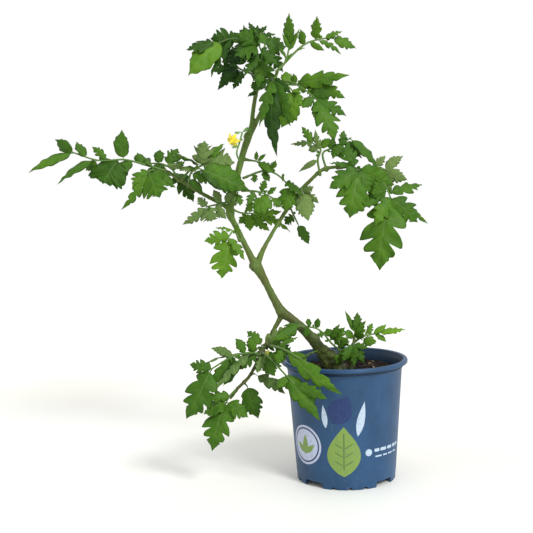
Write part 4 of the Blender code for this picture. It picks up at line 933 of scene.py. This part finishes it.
def makePotMaterial():
    # Recycled polypropylene: satin blue with slightly cloudy colour, fine orange-peel skin, faint upright
    # scuffs, and dried soil splashes low down.
    look = potColour
    material, tree, shader = newMaterial("recycledPolypropylene")
    where = objectPlace(tree)
    height = addNode(tree, "ShaderNodeSeparateXYZ", {"Vector": where}).outputs["Z"]
    cloud = noiseOf(tree, where, look["patch"], 5.0, 0.6)
    colour = colourSteps(tree, cloud, [(0.3, look["deep"]), (0.7, look["wall"])])
    # scuffs run up the wall
    stretched = addNode(tree, "ShaderNodeMapping", {"Vector": where, "Scale": (1.0, 1.0, 0.08)})
    scuff = noiseOf(tree, stretched.outputs[0], look["scuff"], 6.0, 0.7)
    colour = mixColours(tree, remap(tree, scuff, (0.62, 0.78), (0.0, 0.35)), colour, linear(look["worn"]))
    grit = noiseOf(tree, where, look["grit"], 8.0, 0.75)
    low = remap(tree, height, (0.0, 0.03), (0.55, 0.12))
    dustShare = calculate(tree, "MULTIPLY", remap(tree, grit, (0.56, 0.72)), low)
    colour = mixColours(tree, dustShare, colour, linear(look["dust"]))
    # painted shade: the inside, where the wall faces the middle, is darkened for the shade within the pot
    radial = addNode(tree, "ShaderNodeVectorMath", {0: where, 1: (1.0, 1.0, 0.0)},
                     operation="MULTIPLY").outputs[0]
    outward = addNode(tree, "ShaderNodeVectorMath", {0: radial}, operation="NORMALIZE").outputs[0]
    normal = addNode(tree, "ShaderNodeNewGeometry").outputs["Normal"]
    facesOut = addNode(tree, "ShaderNodeVectorMath", {0: outward, 1: normal},
                       operation="DOT_PRODUCT").outputs["Value"]
    inward = remap(tree, facesOut, (-0.2, -0.7), (0.0, 0.85))
    colour = mixColours(tree, inward, colour, linear(look["inside"]))
    # painted shade: a dark band in the groove under the lip stands in for the shadow the lip casts
    radius = addNode(tree, "ShaderNodeVectorMath", {0: radial}, operation="LENGTH").outputs["Value"]
    near = remap(tree, radius, (0.0615, 0.0625), (1.0, 0.0))
    lipShadeShare = calculate(tree, "MULTIPLY", near, remap(tree, height, (0.1178, 0.1192)))
    lipShadeShare = calculate(tree, "MULTIPLY", lipShadeShare, remap(tree, facesOut, (0.3, 0.6), (0.0, 0.9)))
    colour = mixColours(tree, lipShadeShare, colour, linear(look["lipShade"]))
    peel = noiseOf(tree, where, look["peel"], 3.0)
    fillSockets(tree, shader, {
        "Base Color": colour,
        "Roughness": remap(tree, grit, (0.0, 1.0), (0.34, 0.56)),
        "Normal": bumpOf(tree, calculate(tree, "ADD", peel, scuff), 0.12, 0.25),
        "IOR": 1.49,
        "Specular IOR Level": 0.3,
    })
    return material


def turnedShape(profile, segments):
    # a closed solid turned round Z from (radius, height) points that run round its section
    shape = Shape()
    profile = np.array(profile, float)
    turns = np.arange(segments) * 2 * math.pi / segments
    onAxis = profile[:, 0] < 1e-6
    points, starts = [], []
    for (radius, height), atAxis in zip(profile, onAxis):
        starts.append(sum(len(p) for p in points))
        if atAxis:
            points.append(np.array([[0.0, 0.0, height]]))
        else:
            points.append(np.column_stack([radius * np.cos(turns), radius * np.sin(turns),
                                           np.full(segments, height)]))
    faces = []
    count = len(profile)
    pairs = [(i, i + 1) for i in range(count - 1)] + ([] if onAxis[0] and onAxis[-1] else [(count - 1, 0)])
    for i, j in pairs:
        if onAxis[i] and onAxis[j]:
            continue
        for k in range(segments):
            n = (k + 1) % segments
            if onAxis[i]:
                faces.append((starts[i], starts[j] + k, starts[j] + n))
            elif onAxis[j]:
                faces.append((starts[i] + k, starts[j], starts[i] + n))
            else:
                faces.append((starts[i] + k, starts[j] + k, starts[j] + n, starts[i] + n))
    shape.add(np.vstack(points), faces, [0] * len(faces))
    return shape


def tidyMesh(piece):
    shape = bmesh.new()
    shape.from_mesh(piece.data)
    bmesh.ops.recalc_face_normals(shape, faces=shape.faces)
    shape.to_mesh(piece.data)
    shape.free()


def cutterBox(size, place, turn, rounding=1.2):
    bpy.ops.mesh.primitive_cube_add(size=1.0)
    box = bpy.context.object
    box.scale = Vector(size) * mm
    box.location = Vector(place) * mm
    box.rotation_euler = (0, 0, turn)
    bpy.ops.object.transform_apply(location=True, rotation=True, scale=True)
    bevel = box.modifiers.new("round", "BEVEL")
    bevel.width = rounding * mm
    bevel.segments = 4
    return box


def cutterRod(radius, length, place, rotation):
    bpy.ops.mesh.primitive_cylinder_add(vertices=32, radius=radius * mm, depth=length * mm)
    rod = bpy.context.object
    rod.location = Vector(place) * mm
    rod.rotation_euler = rotation
    return rod


def cutAll(piece, cutters):
    helpers = bpy.data.collections.new("cutters")
    bpy.context.scene.collection.children.link(helpers)
    for cutter in cutters:
        for home in list(cutter.users_collection):
            home.objects.unlink(cutter)
        helpers.objects.link(cutter)
    cut = piece.modifiers.new("cut", "BOOLEAN")
    cut.operation = "DIFFERENCE"
    cut.operand_type = "COLLECTION"
    cut.collection = helpers
    cut.solver = "EXACT"
    bpy.context.view_layer.update()
    graph = bpy.context.evaluated_depsgraph_get()
    mesh = bpy.data.meshes.new_from_object(piece.evaluated_get(graph))
    piece.modifiers.clear()
    piece.data = mesh
    for cutter in cutters:
        bpy.data.objects.remove(cutter, do_unlink=True)
    bpy.data.collections.remove(helpers)


def arcPoints(centre, radius, start, end, count):
    # points round an arc of a section, in degrees
    turns = np.radians(np.linspace(start, end, count))
    return [(centre[0] + radius * math.cos(a), centre[1] + radius * math.sin(a)) for a in turns]


def makePot():
    size = potSize
    top, rim, neck, foot = size["height"], size["rimRadius"], size["neckRadius"], size["footRadius"]
    inside = foot - size["footWall"]
    shoulder = top - 10.0
    lipInside = rim - size["lipWall"]
    profile = [(rim - 3.6, top - 0.35), (rim - 2.8, top - 0.05)]
    profile += arcPoints((rim - 2.2, top - 2.2), 2.2, 88, 4, 9)
    profile += [(rim, top - 3.2), (rim, top - size["lipDepth"] + 0.3), (rim - 0.3, top - size["lipDepth"]),
                (lipInside + 0.2, top - size["lipDepth"]), (lipInside, top - size["lipDepth"] + 0.2),
                (lipInside - 0.1, top - 3.0), (lipInside - 0.9, top - 2.0), (lipInside - 2.0, top - 2.1),
                (neck + 1.5, top - 3.2), (neck + 0.7, top - 5.2), (neck + 0.6, top - 6.6)]
    # the shoulder bead under the lip
    profile += arcPoints((neck + 0.35, top - 8.1), 0.75, 60, -60, 7)
    profile += [(wallRadius(shoulder) + 0.1, shoulder + 0.3)]
    profile += [(wallRadius(h), h) for h in np.linspace(shoulder - 0.6, 8.5, 40)]
    profile += [(foot + 0.15, 6.0), (foot + 0.05, 4.0), (foot - 0.1, 1.0), (foot - 0.35, 0.2),
                (foot - 0.7, 0.0), (inside + 0.4, 0.0), (inside, 0.4), (inside, size["floorUnder"])]
    profile += [(size["padRadius"] + 0.6, size["floorUnder"]), (size["padRadius"], 0.3),
                (size["padRadius"] - 0.3, 0.0), (0.0, 0.0), (0.0, size["floorTop"])]
    profile += [(inside - 1.6, size["floorTop"]), (inside - 0.6, size["floorTop"] + 0.4),
                (wallRadius(10) - size["wall"], 10.0)]
    profile += [(wallRadius(h) - size["wall"] + 0.12 * math.cos(h * 1.9), h)
                for h in np.linspace(11, shoulder, 60)]
    profile += [(neck - 0.6, top - 6.6), (neck + 0.2, top - 3.4), (neck + 1.2, top - 1.7),
                (rim - 4.6, top - 0.8)]
    # the section is opened at the axis
    axis = next(i for i, point in enumerate(profile) if point == (0.0, size["floorTop"]))
    profile = profile[axis:] + profile[:axis]
    pot = turnedShape(profile, size["segments"]).build("nursery_pot", [makePotMaterial()])
    tidyMesh(pot)
    cutters = []
    for corner in range(4):
        turn = math.radians(45 + 90 * corner)
        place = (foot * math.cos(turn), foot * math.sin(turn), size["notchHeight"] / 2 - 1.5)
        cutters.append(cutterBox((8, size["notchWidth"], size["notchHeight"] + 3), place, turn))
        for nick in (-1, 0, 1):
            turn = math.radians(90 * corner + size["nickSpacing"] * nick)
            place = (foot * math.cos(turn), foot * math.sin(turn), 0)
            cutters.append(cutterRod(size["nickRadius"], 8, place, (0, math.pi / 2, turn)))
    for hole in range(8):
        turn = math.pi * (hole + 0.5) / 4
        away = size["holeCircle"]
        place = (away * math.cos(turn), away * math.sin(turn), size["floorTop"] - 1)
        cutters.append(cutterRod(size["holeRadius"], 6, place, (0, 0, 0)))
    cutAll(pot, cutters)
    for polygon in pot.data.polygons:
        polygon.use_smooth = True
    pot.data.set_sharp_from_angle(angle=math.radians(32))
    finishPiece(pot, "pot_plastic", "pot")


makePot()
print("pot made")


printSize = {"proud": 0.07, "depth": 0.25, "step": 1.6}
inkColour = {"white": "#A9BACB", "pale": "#AEB6CC", "green": "#6F8B38", "veins": "#4F6B2A",
             "navy": "#002458"}


def makeInkMaterial(name, colour):
    # Screen-printed ink on plastic: a thin satin film, slightly patchy, with fine rub marks.
    material, tree, shader = newMaterial(name)
    patch = noiseOf(tree, objectPlace(tree), 2.5, 7.0, 0.7)
    thin = remap(tree, patch, (0.5, 0.8), (0.0, 0.6))
    mixed = mixColours(tree, thin, linear(colour), linear(potColour["wall"]))
    fillSockets(tree, shader, {
        "Base Color": mixed,
        "Roughness": 0.42,
        "Normal": bumpOf(tree, patch, 0.1, 0.1),
    })
    return material


def printShape(outlines, material, name, lift=0.0):
    # flat outlines in millimetres (round the wall from the front, up from the ground), wrapped on the cone
    flat = bmesh.new()
    for outline in outlines:
        flat.faces.new([flat.verts.new((x, y, 0)) for x, y in outline])
    bmesh.ops.triangulate(flat, faces=flat.faces)
    xs = [vert.co.x for vert in flat.verts]
    for cut in np.arange(min(xs) + printSize["step"], max(xs), printSize["step"]):
        parts = flat.verts[:] + flat.edges[:] + flat.faces[:]
        bmesh.ops.bisect_plane(flat, geom=parts, plane_co=(cut, 0, 0), plane_no=(1, 0, 0), dist=1e-5)
    bmesh.ops.recalc_face_normals(flat, faces=flat.faces)
    for face in flat.faces:
        if face.normal.z < 0:
            face.normal_flip()
    whole = bmesh.ops.extrude_face_region(flat, geom=flat.faces[:])
    raised = {item for item in whole["geom"] if isinstance(item, bmesh.types.BMVert)}
    for vert in flat.verts:
        radius = wallRadius(vert.co.y)
        turn = vert.co.x / radius - math.pi / 2
        out = radius + (printSize["proud"] + lift if vert in raised else -printSize["depth"])
        vert.co = Vector((out * math.cos(turn), out * math.sin(turn), vert.co.y)) * mm
    bmesh.ops.recalc_face_normals(flat, faces=flat.faces)
    mesh = bpy.data.meshes.new(name)
    flat.to_mesh(mesh)
    flat.free()
    mesh.materials.append(material)
    piece = bpy.data.objects.new(name, mesh)
    bpy.context.scene.collection.objects.link(piece)
    finishPiece(piece, "pot_plastic")


def ovalPoints(x, y, wide, high, count=48):
    return [(x + wide * math.cos(a), y + high * math.sin(a)) for a in np.arange(count) * 2 * math.pi / count]


def barPoints(x, y, wide, high, turn=0.0):
    corners = []
    for cx, cy, start in ((1, 1, 0), (-1, 1, 90), (-1, -1, 180), (1, -1, 270)):
        edge = min(wide, high) * 0.3
        corners += arcPoints((cx * (wide / 2 - edge), cy * (high / 2 - edge)), edge, start, start + 90, 4)
    a = math.radians(turn)
    return [(x + px * math.cos(a) - py * math.sin(a), y + px * math.sin(a) + py * math.cos(a))
            for px, py in corners]


def leafPoints(x, y, long, wide, turn):
    # a plain pointed leaf from its foot at (x, y)
    run = np.linspace(0, 1, 15)
    half = wide / 2 * np.sin(math.pi * run ** 0.8)
    outline = list(zip(run * long, half)) + list(zip(run[-2:0:-1] * long, -half[-2:0:-1]))
    a = math.radians(turn)
    return [(x + px * math.cos(a) - py * math.sin(a), y + px * math.sin(a) + py * math.cos(a))
            for px, py in outline]


def makePrint():
    inks = {name: makeInkMaterial(name + "Ink", colour) for name, colour in inkColour.items()}
    # a plain pale disc with a ring and a sprig
    printShape([ovalPoints(-50, 43, 20.5, 20.5)], inks["pale"], "print_disc")
    ring, hole = ovalPoints(-50, 43, 18.2, 18.2), ovalPoints(-50, 43, 16.6, 16.6)
    bands = [[ring[i - 1], ring[i], hole[i], hole[i - 1]] for i in range(len(ring))]
    sprig = [leafPoints(-50, 33, 21, 8, 90), leafPoints(-51, 35, 15, 6, 140), leafPoints(-49, 35, 15, 6, 40)]
    printShape(bands, inks["navy"], "print_ring", 0.05)
    printShape(sprig, inks["green"], "print_sprig", 0.05)
    # one broad leaf with its veins
    veins = [barPoints(-6, 40, 1.4, 38)]
    for rise in (28, 37, 46):
        veins += [barPoints(-11, rise, 9, 1.2, -32), barPoints(-1, rise, 9, 1.2, 32)]
    printShape([leafPoints(-6, 14, 52, 34, 90)], inks["green"], "print_leaf")
    printShape(veins, inks["veins"], "print_leaf_veins", 0.05)
    # a dark leaf between two plain pale ones
    paleLeaves = [leafPoints(-24, 64, 24, 6, 97), leafPoints(8, 56, 36, 8, 78)]
    printShape(paleLeaves, inks["white"], "print_pale_leaves")
    printShape([leafPoints(-17, 69, 33, 25, 60)], inks["navy"], "print_dark_leaf")
    # two rows of short plain bars
    bars = [ovalPoints(19.5, 38, 3.6, 3.6)]
    bars += [barPoints(at, 39.5, long, 3.2) for at, long in ((29, 6), (37.5, 8), (47, 7), (56, 6), (63, 4))]
    bars += [barPoints(at, 33, long, 1.5) for at, long in ((31, 8), (40, 6), (48.5, 7), (57, 6))]
    printShape(bars, inks["white"], "print_bars")


makePrint()
print("print made")


soilSize = {
    "edge": 111.5, "crown": 113.5, "lump": 1.5, "crumbs": 420, "chips": 46,
    "chipSpans": ((1.0, 2.4), (0.6, 1.0), (0.25, 0.5)),
    "crumbSpans": ((0.8, 1.4), (0.7, 1.2), (0.6, 1.0)),
}


def makeSoilMaterial(name, dark, mid, light, share):
    # Damp peat mix: almost black, rough, with fibres and a few paler crumbs.
    material, tree, shader = newMaterial(name)
    where = objectPlace(tree)
    lumps = addNode(tree, "ShaderNodeTexVoronoi", {"Vector": where, "Scale": 1 / (2.4 * mm),
                    "Randomness": 1.0})
    fine = noiseOf(tree, where, 1.6, 8.0, 0.75)
    colour = colourSteps(tree, fine, [(0.3, dark), (0.6, mid), (share, light)])
    height = calculate(tree, "ADD", fine, lumps.outputs["Distance"])
    fillSockets(tree, shader, {
        "Base Color": colour,
        "Roughness": 0.92,
        "Normal": bumpOf(tree, height, 0.9, 0.8),
        "Specular IOR Level": 0.25,
    })
    return material


def makeSoil():
    rng = random.Random("soil")
    peat = makeSoilMaterial("dampPeat", "#0D0A08", "#1F1813", "#3B2C20", 0.85)
    bark = makeSoilMaterial("barkChip", "#3B2E20", "#7D6A4C", "#A89A7C", 0.8)
    reach = wallRadius(soilSize["edge"]) - potSize["wall"] - 0.3
    rings, spokes = 56, 160
    floor = potSize["floorTop"] + 0.4
    points, faces = [(0.0, 0.0, soilSize["crown"])], []
    for ring in range(1, rings + 1):
        radius = reach * ring / rings
        for spoke in range(spokes):
            a = 2 * math.pi * spoke / spokes
            x, y = radius * math.cos(a), radius * math.sin(a)
            inner = min(1.0, (reach - radius) / 4)
            swell = soilSize["crown"] - soilSize["edge"]
            height = soilSize["edge"] + swell * min(1.0, (reach - radius) / 14)
            bumps = noise.fractal(Vector((x, y, 0)) / 7, 1.0, 2.0, 5) * soilSize["lump"]
            crumbs = max(0, noise.noise(Vector((x, y, 3)) / 1.9)) * 1.3
            points.append((x, y, height + (bumps + crumbs - 0.4) * (0.35 + 0.65 * inner)))
    for height in (90, 60, 30, 10):
        wall = wallRadius(height) - potSize["wall"] - 0.3
        for spoke in range(spokes):
            a = 2 * math.pi * spoke / spokes
            points.append((wall * math.cos(a), wall * math.sin(a), height))
    for spoke in range(spokes):
        a = 2 * math.pi * spoke / spokes
        foot = potSize["footRadius"] - potSize["footWall"] - 0.9
        points.append((foot * math.cos(a), foot * math.sin(a), floor))
    points.append((0.0, 0.0, floor))
    layers = rings + 5
    for spoke in range(spokes):
        n = (spoke + 1) % spokes
        faces.append((0, 1 + spoke, 1 + n))
        for ring in range(layers - 1):
            a, b = 1 + ring * spokes + spoke, 1 + ring * spokes + n
            faces.append((a, a + spokes, b + spokes, b))
        last = 1 + (layers - 1) * spokes
        faces.append((last + spoke, len(points) - 1, last + n))
    shape = Shape()
    shape.add(points, faces, [0] * len(faces))
    soil = shape.build("potting_mix", [peat])
    tidyMesh(soil)
    finishPiece(soil, "soil", "potting_soil")

    loose = Shape()
    for number in range(soilSize["crumbs"] + soilSize["chips"]):
        chip = number >= soilSize["crumbs"]
        radius = (reach - 2.5) * math.sqrt(rng.random())
        turn = rng.uniform(0, 2 * math.pi)
        size = rng.uniform(1.0, 2.2) if chip else rng.uniform(0.5, 1.7) ** 1.2
        ball = bmesh.new()
        bmesh.ops.create_icosphere(ball, subdivisions=2, radius=size)
        spans = soilSize["chipSpans"] if chip else soilSize["crumbSpans"]
        stretch = Vector([rng.uniform(least, most) for least, most in spans])
        spin = Euler((rng.uniform(-0.5, 0.5), rng.uniform(-0.5, 0.5), rng.uniform(0, 6.28))).to_matrix()
        height = soilSize["crown"] + 0.5 - 1.6 * max(0.0, (radius - reach + 14) / 14)
        spot = Vector((radius * math.cos(turn), radius * math.sin(turn), height))
        seed = Vector((number * 3.1, 0, 0))
        cells = []
        for vert in ball.verts:
            rough = 1 + 0.45 * noise.noise(vert.co / size * 1.3 + seed)
            cells.append(spot + spin @ Vector(a * b * rough for a, b in zip(vert.co, stretch)))
        loose.add(cells, [[v.index for v in f.verts] for f in ball.faces], [int(chip)] * len(ball.faces))
        ball.free()
    crumbs = loose.build("soil_crumbs", [peat, bark])
    finishPiece(crumbs, "soil")


makeSoil()
print("soil made")


flowerPlan = {
    "centre": (-109, -17, 350), "axis": (-0.45, -0.8, -0.4), "petal": 9.0, "sepal": 6.0, "cone": 6.0,
    "stalk": [(-103, 2, 330), (-105, -10, 338), (-102, -11, 348), (-99, -10, 358)],
    "buds": [((-95, -11, 361), 1.9), ((-104, -13, 358), 1.6), ((-100, -15, 351), 1.5),
             ((-107, -14, 344), 1.7)],
}


def makePetalMaterial(name, dark, mid, light, gloss):
    # Petal tissue: thin, matt and slightly velvety, with fine long veins.
    material, tree, shader = newMaterial(name)
    across = bladePlace(tree)["Y"]
    grain = noiseOf(tree, objectPlace(tree), 1.2, 4.0)
    stripes = calculate(tree, "SINE", calculate(tree, "MULTIPLY", across, 24.0))
    tint = calculate(tree, "ADD", grain, calculate(tree, "MULTIPLY", stripes, 0.06))
    colour = colourSteps(tree, tint, [(0.25, dark), (0.5, mid), (0.75, light)])
    fillSockets(tree, shader, {
        "Base Color": colour,
        "Roughness": gloss,
        "Normal": bumpOf(tree, tint, 0.3, 0.2),
        "Sheen Weight": 0.2,
    })
    return material


def addPetal(shape, centre, axis, outward, length, width, curl, cup):
    # a thin pointed petal that leaves the axis and curls back
    side = unit(np.cross(axis, outward))
    rows, half = 16, 4
    s = np.linspace(0, 1, rows + 1)
    t = np.linspace(-1, 1, 2 * half + 1)
    turn = curl * s
    run = np.cumsum(np.cos(turn)) * length / (rows + 1)
    back = -np.cumsum(np.sin(turn)) * length / (rows + 1)
    spread = width / 2 * np.sin(math.pi * (0.12 + 0.88 * s) ** 0.75) ** 0.9
    spread[-1] = 0
    middle = centre + np.outer(run, outward) + np.outer(back, axis)
    top, low = [], []
    for i in range(rows + 1):
        for u in t:
            skin = 0.22 * (1 - abs(u) ** 4) * (0 < i < rows)
            point = middle[i] + side * u * spread[i] + axis * cup * u * u * spread[i]
            top.append(point + axis * skin)
            low.append(point - axis * skin * 0.4)
    index = np.arange(len(top)).reshape(rows + 1, -1)
    inner = np.zeros_like(index, bool)
    inner[1:-1, 1:-1] = True
    lower = index.copy()
    lower[inner] = index.size + np.arange(inner.sum())
    low = np.array(low).reshape(rows + 1, -1, 3)[inner]
    place = np.stack([np.repeat(s[:, None], len(t), 1), np.repeat(t[None], rows + 1, 0),
                      np.full(index.shape, 0.5)], -1)
    faces = []
    for i in range(rows):
        for j in range(2 * half):
            faces.append((index[i, j], index[i + 1, j], index[i + 1, j + 1], index[i, j + 1]))
            faces.append((lower[i, j], lower[i, j + 1], lower[i + 1, j + 1], lower[i + 1, j]))
    places = np.vstack([place.reshape(-1, 3), place[inner]])
    shape.add(np.vstack([top, low]), faces, [0] * len(faces), places)


def makeFlower():
    axis = unit(np.array(flowerPlan["axis"], float))
    centre = np.array(flowerPlan["centre"], float)
    first = unit(np.cross(axis, (0.2, 0.1, 1)))
    second = np.cross(axis, first)
    yellow = makePetalMaterial("tomatoPetal", "#CDB414", "#E6D226", "#F2E656", 0.6)
    orange = makePetalMaterial("tomatoAnther", "#C9AE12", "#DCC61C", "#EAD93E", 0.5)
    sepalGreen = makePetalMaterial("tomatoSepal", "#3C6B2A", "#5B8C3A", "#8DB35A", 0.65)
    petals, sepals, cone = Shape(), Shape(), Shape()
    for number in range(6):
        turn = number * math.pi / 3
        outward = first * math.cos(turn) + second * math.sin(turn)
        addPetal(petals, centre, axis, outward, flowerPlan["petal"], 4.8, 0.9, 0.2)
        turn += math.pi / 6
        outward = first * math.cos(turn) + second * math.sin(turn)
        addPetal(sepals, centre - axis * 0.8, axis, outward, flowerPlan["sepal"], 1.9, 0.5, 0.3)
    run = np.linspace(0, 1, 16)
    cone.tube([(*(centre + axis * flowerPlan["cone"] * s), 1.5 * (1 - 0.75 * s ** 1.6)) for s in run], 24,
              slot=0, ridges=0.09)
    finishPiece(petals.build("tomato_petals", [yellow]), "petal", "flower_petals")
    finishPiece(sepals.build("tomato_calyx", [sepalGreen]), "leaf_blade", "flower_calyx")
    finishPiece(cone.build("tomato_anther_cone", [orange]), "anther", "flower_anther_cone")

    truss = Shape()
    stalk = smoothPath([(*point, 0.9) for point in flowerPlan["stalk"]], 8)
    truss.tube(stalk, 12, 0)
    behind = centre - axis * 1.0
    start = placeAlong(stalk, 0.55)[:3]
    pedicel = smoothPath([(*start, 0.6), (*(behind - axis * 3 + (0, 0, 0.6)), 0.7), (*behind, 1.1)], 8)
    truss.tube(pedicel, 10, 0)
    for spot, radius in flowerPlan["buds"]:
        spot = np.array(spot, float)
        root = min((placeAlong(stalk, k / 10)[:3] for k in range(3, 11)),
                   key=lambda p: np.linalg.norm(p - spot))
        reach = unit(spot - root)
        bend = (root + spot) / 2 + (0, -0.5, 0.8)
        truss.tube(smoothPath([(*root, 0.45), (*bend, 0.45), (*spot, 0.6)], 6), 8, 0)
        swell = np.sin(np.pi * np.linspace(0.08, 0.98, 12)) ** 0.7
        heart = [(*(spot + reach * (k / 11 * 3.2 - 1.6) * radius), radius * 0.8 * w)
                 for k, w in enumerate(swell)]
        truss.tube(heart, 14, 0, ridges=0.06)
        flat = unit(np.cross(reach, (0.3, 0.2, 1)))
        cross = np.cross(reach, flat)
        for number in range(5):
            turn = number * 2 * math.pi / 5
            outward = flat * math.cos(turn) + cross * math.sin(turn)
            addPetal(truss, spot - reach * radius * 1.5, reach, unit(outward * 0.35 + reach), radius * 3.0,
                     radius * 0.8, -0.3, 0.4)
    finishPiece(truss.build("tomato_truss", [sepalGreen]), "leaf_blade", "truss_stalk")


makeFlower()
print("flower made")


stageLook = {"floor": "#E4E6E2", "world": "#FFFFFF", "worldStrength": 1.0, "key": 2.6,
             "softness": 17, "from": (0.56, -0.84, 0.8),
             "cloudDark": "#DEDCD4", "lens": 69.0, "eye": (-78, -1043, 323), "pitch": 5.55, "tilt": 1.45}


def makeStage():
    bpy.ops.mesh.primitive_plane_add(size=6.0)
    floor = bpy.context.object
    floor.name = "studio_floor"
    material, tree, shader = newMaterial("paleStudioFloor")
    where = addNode(tree, "ShaderNodeTexCoord").outputs["Object"]
    cloud = addNode(tree, "ShaderNodeTexNoise", {"Vector": where, "Scale": 3.0, "Detail": 2.0})
    colour = colourSteps(tree, cloud.outputs["Fac"], [(0.3, stageLook["cloudDark"]),
                                                      (0.7, stageLook["floor"])])
    fillSockets(tree, shader, {"Base Color": colour, "Roughness": 0.6})
    floor.data.materials.append(material)
    world = bpy.data.worlds.new("studioWhite")
    bpy.context.scene.world = world
    world.use_nodes = True
    background = world.node_tree.nodes["Background"]
    background.inputs["Color"].default_value = linear(stageLook["world"])
    background.inputs["Strength"].default_value = stageLook["worldStrength"]
    # one broad, even key from the front right, as a large softbox gives
    data = bpy.data.lights.new("keyLight", "SUN")
    data.energy = stageLook["key"]
    data.angle = math.radians(stageLook["softness"])
    key = bpy.data.objects.new("keyLight", data)
    key.rotation_euler = Vector(stageLook["from"]).to_track_quat("Z", "Y").to_euler()
    bpy.context.scene.collection.objects.link(key)
    camera = bpy.data.cameras.new("camera")
    camera.lens = stageLook["lens"]
    camera.sensor_width = 36.0
    eye = bpy.data.objects.new("camera", camera)
    eye.location = Vector(stageLook["eye"]) * mm
    level = Euler((math.radians(90 - stageLook["pitch"]), 0, 0)).to_matrix()
    roll = Matrix.Rotation(math.radians(-stageLook["tilt"]), 3, "Z")
    eye.rotation_euler = (level @ roll).to_euler()
    bpy.context.scene.collection.objects.link(eye)
    bpy.context.scene.camera = eye
    bpy.context.scene.view_settings.view_transform = "Standard"


makeStage()
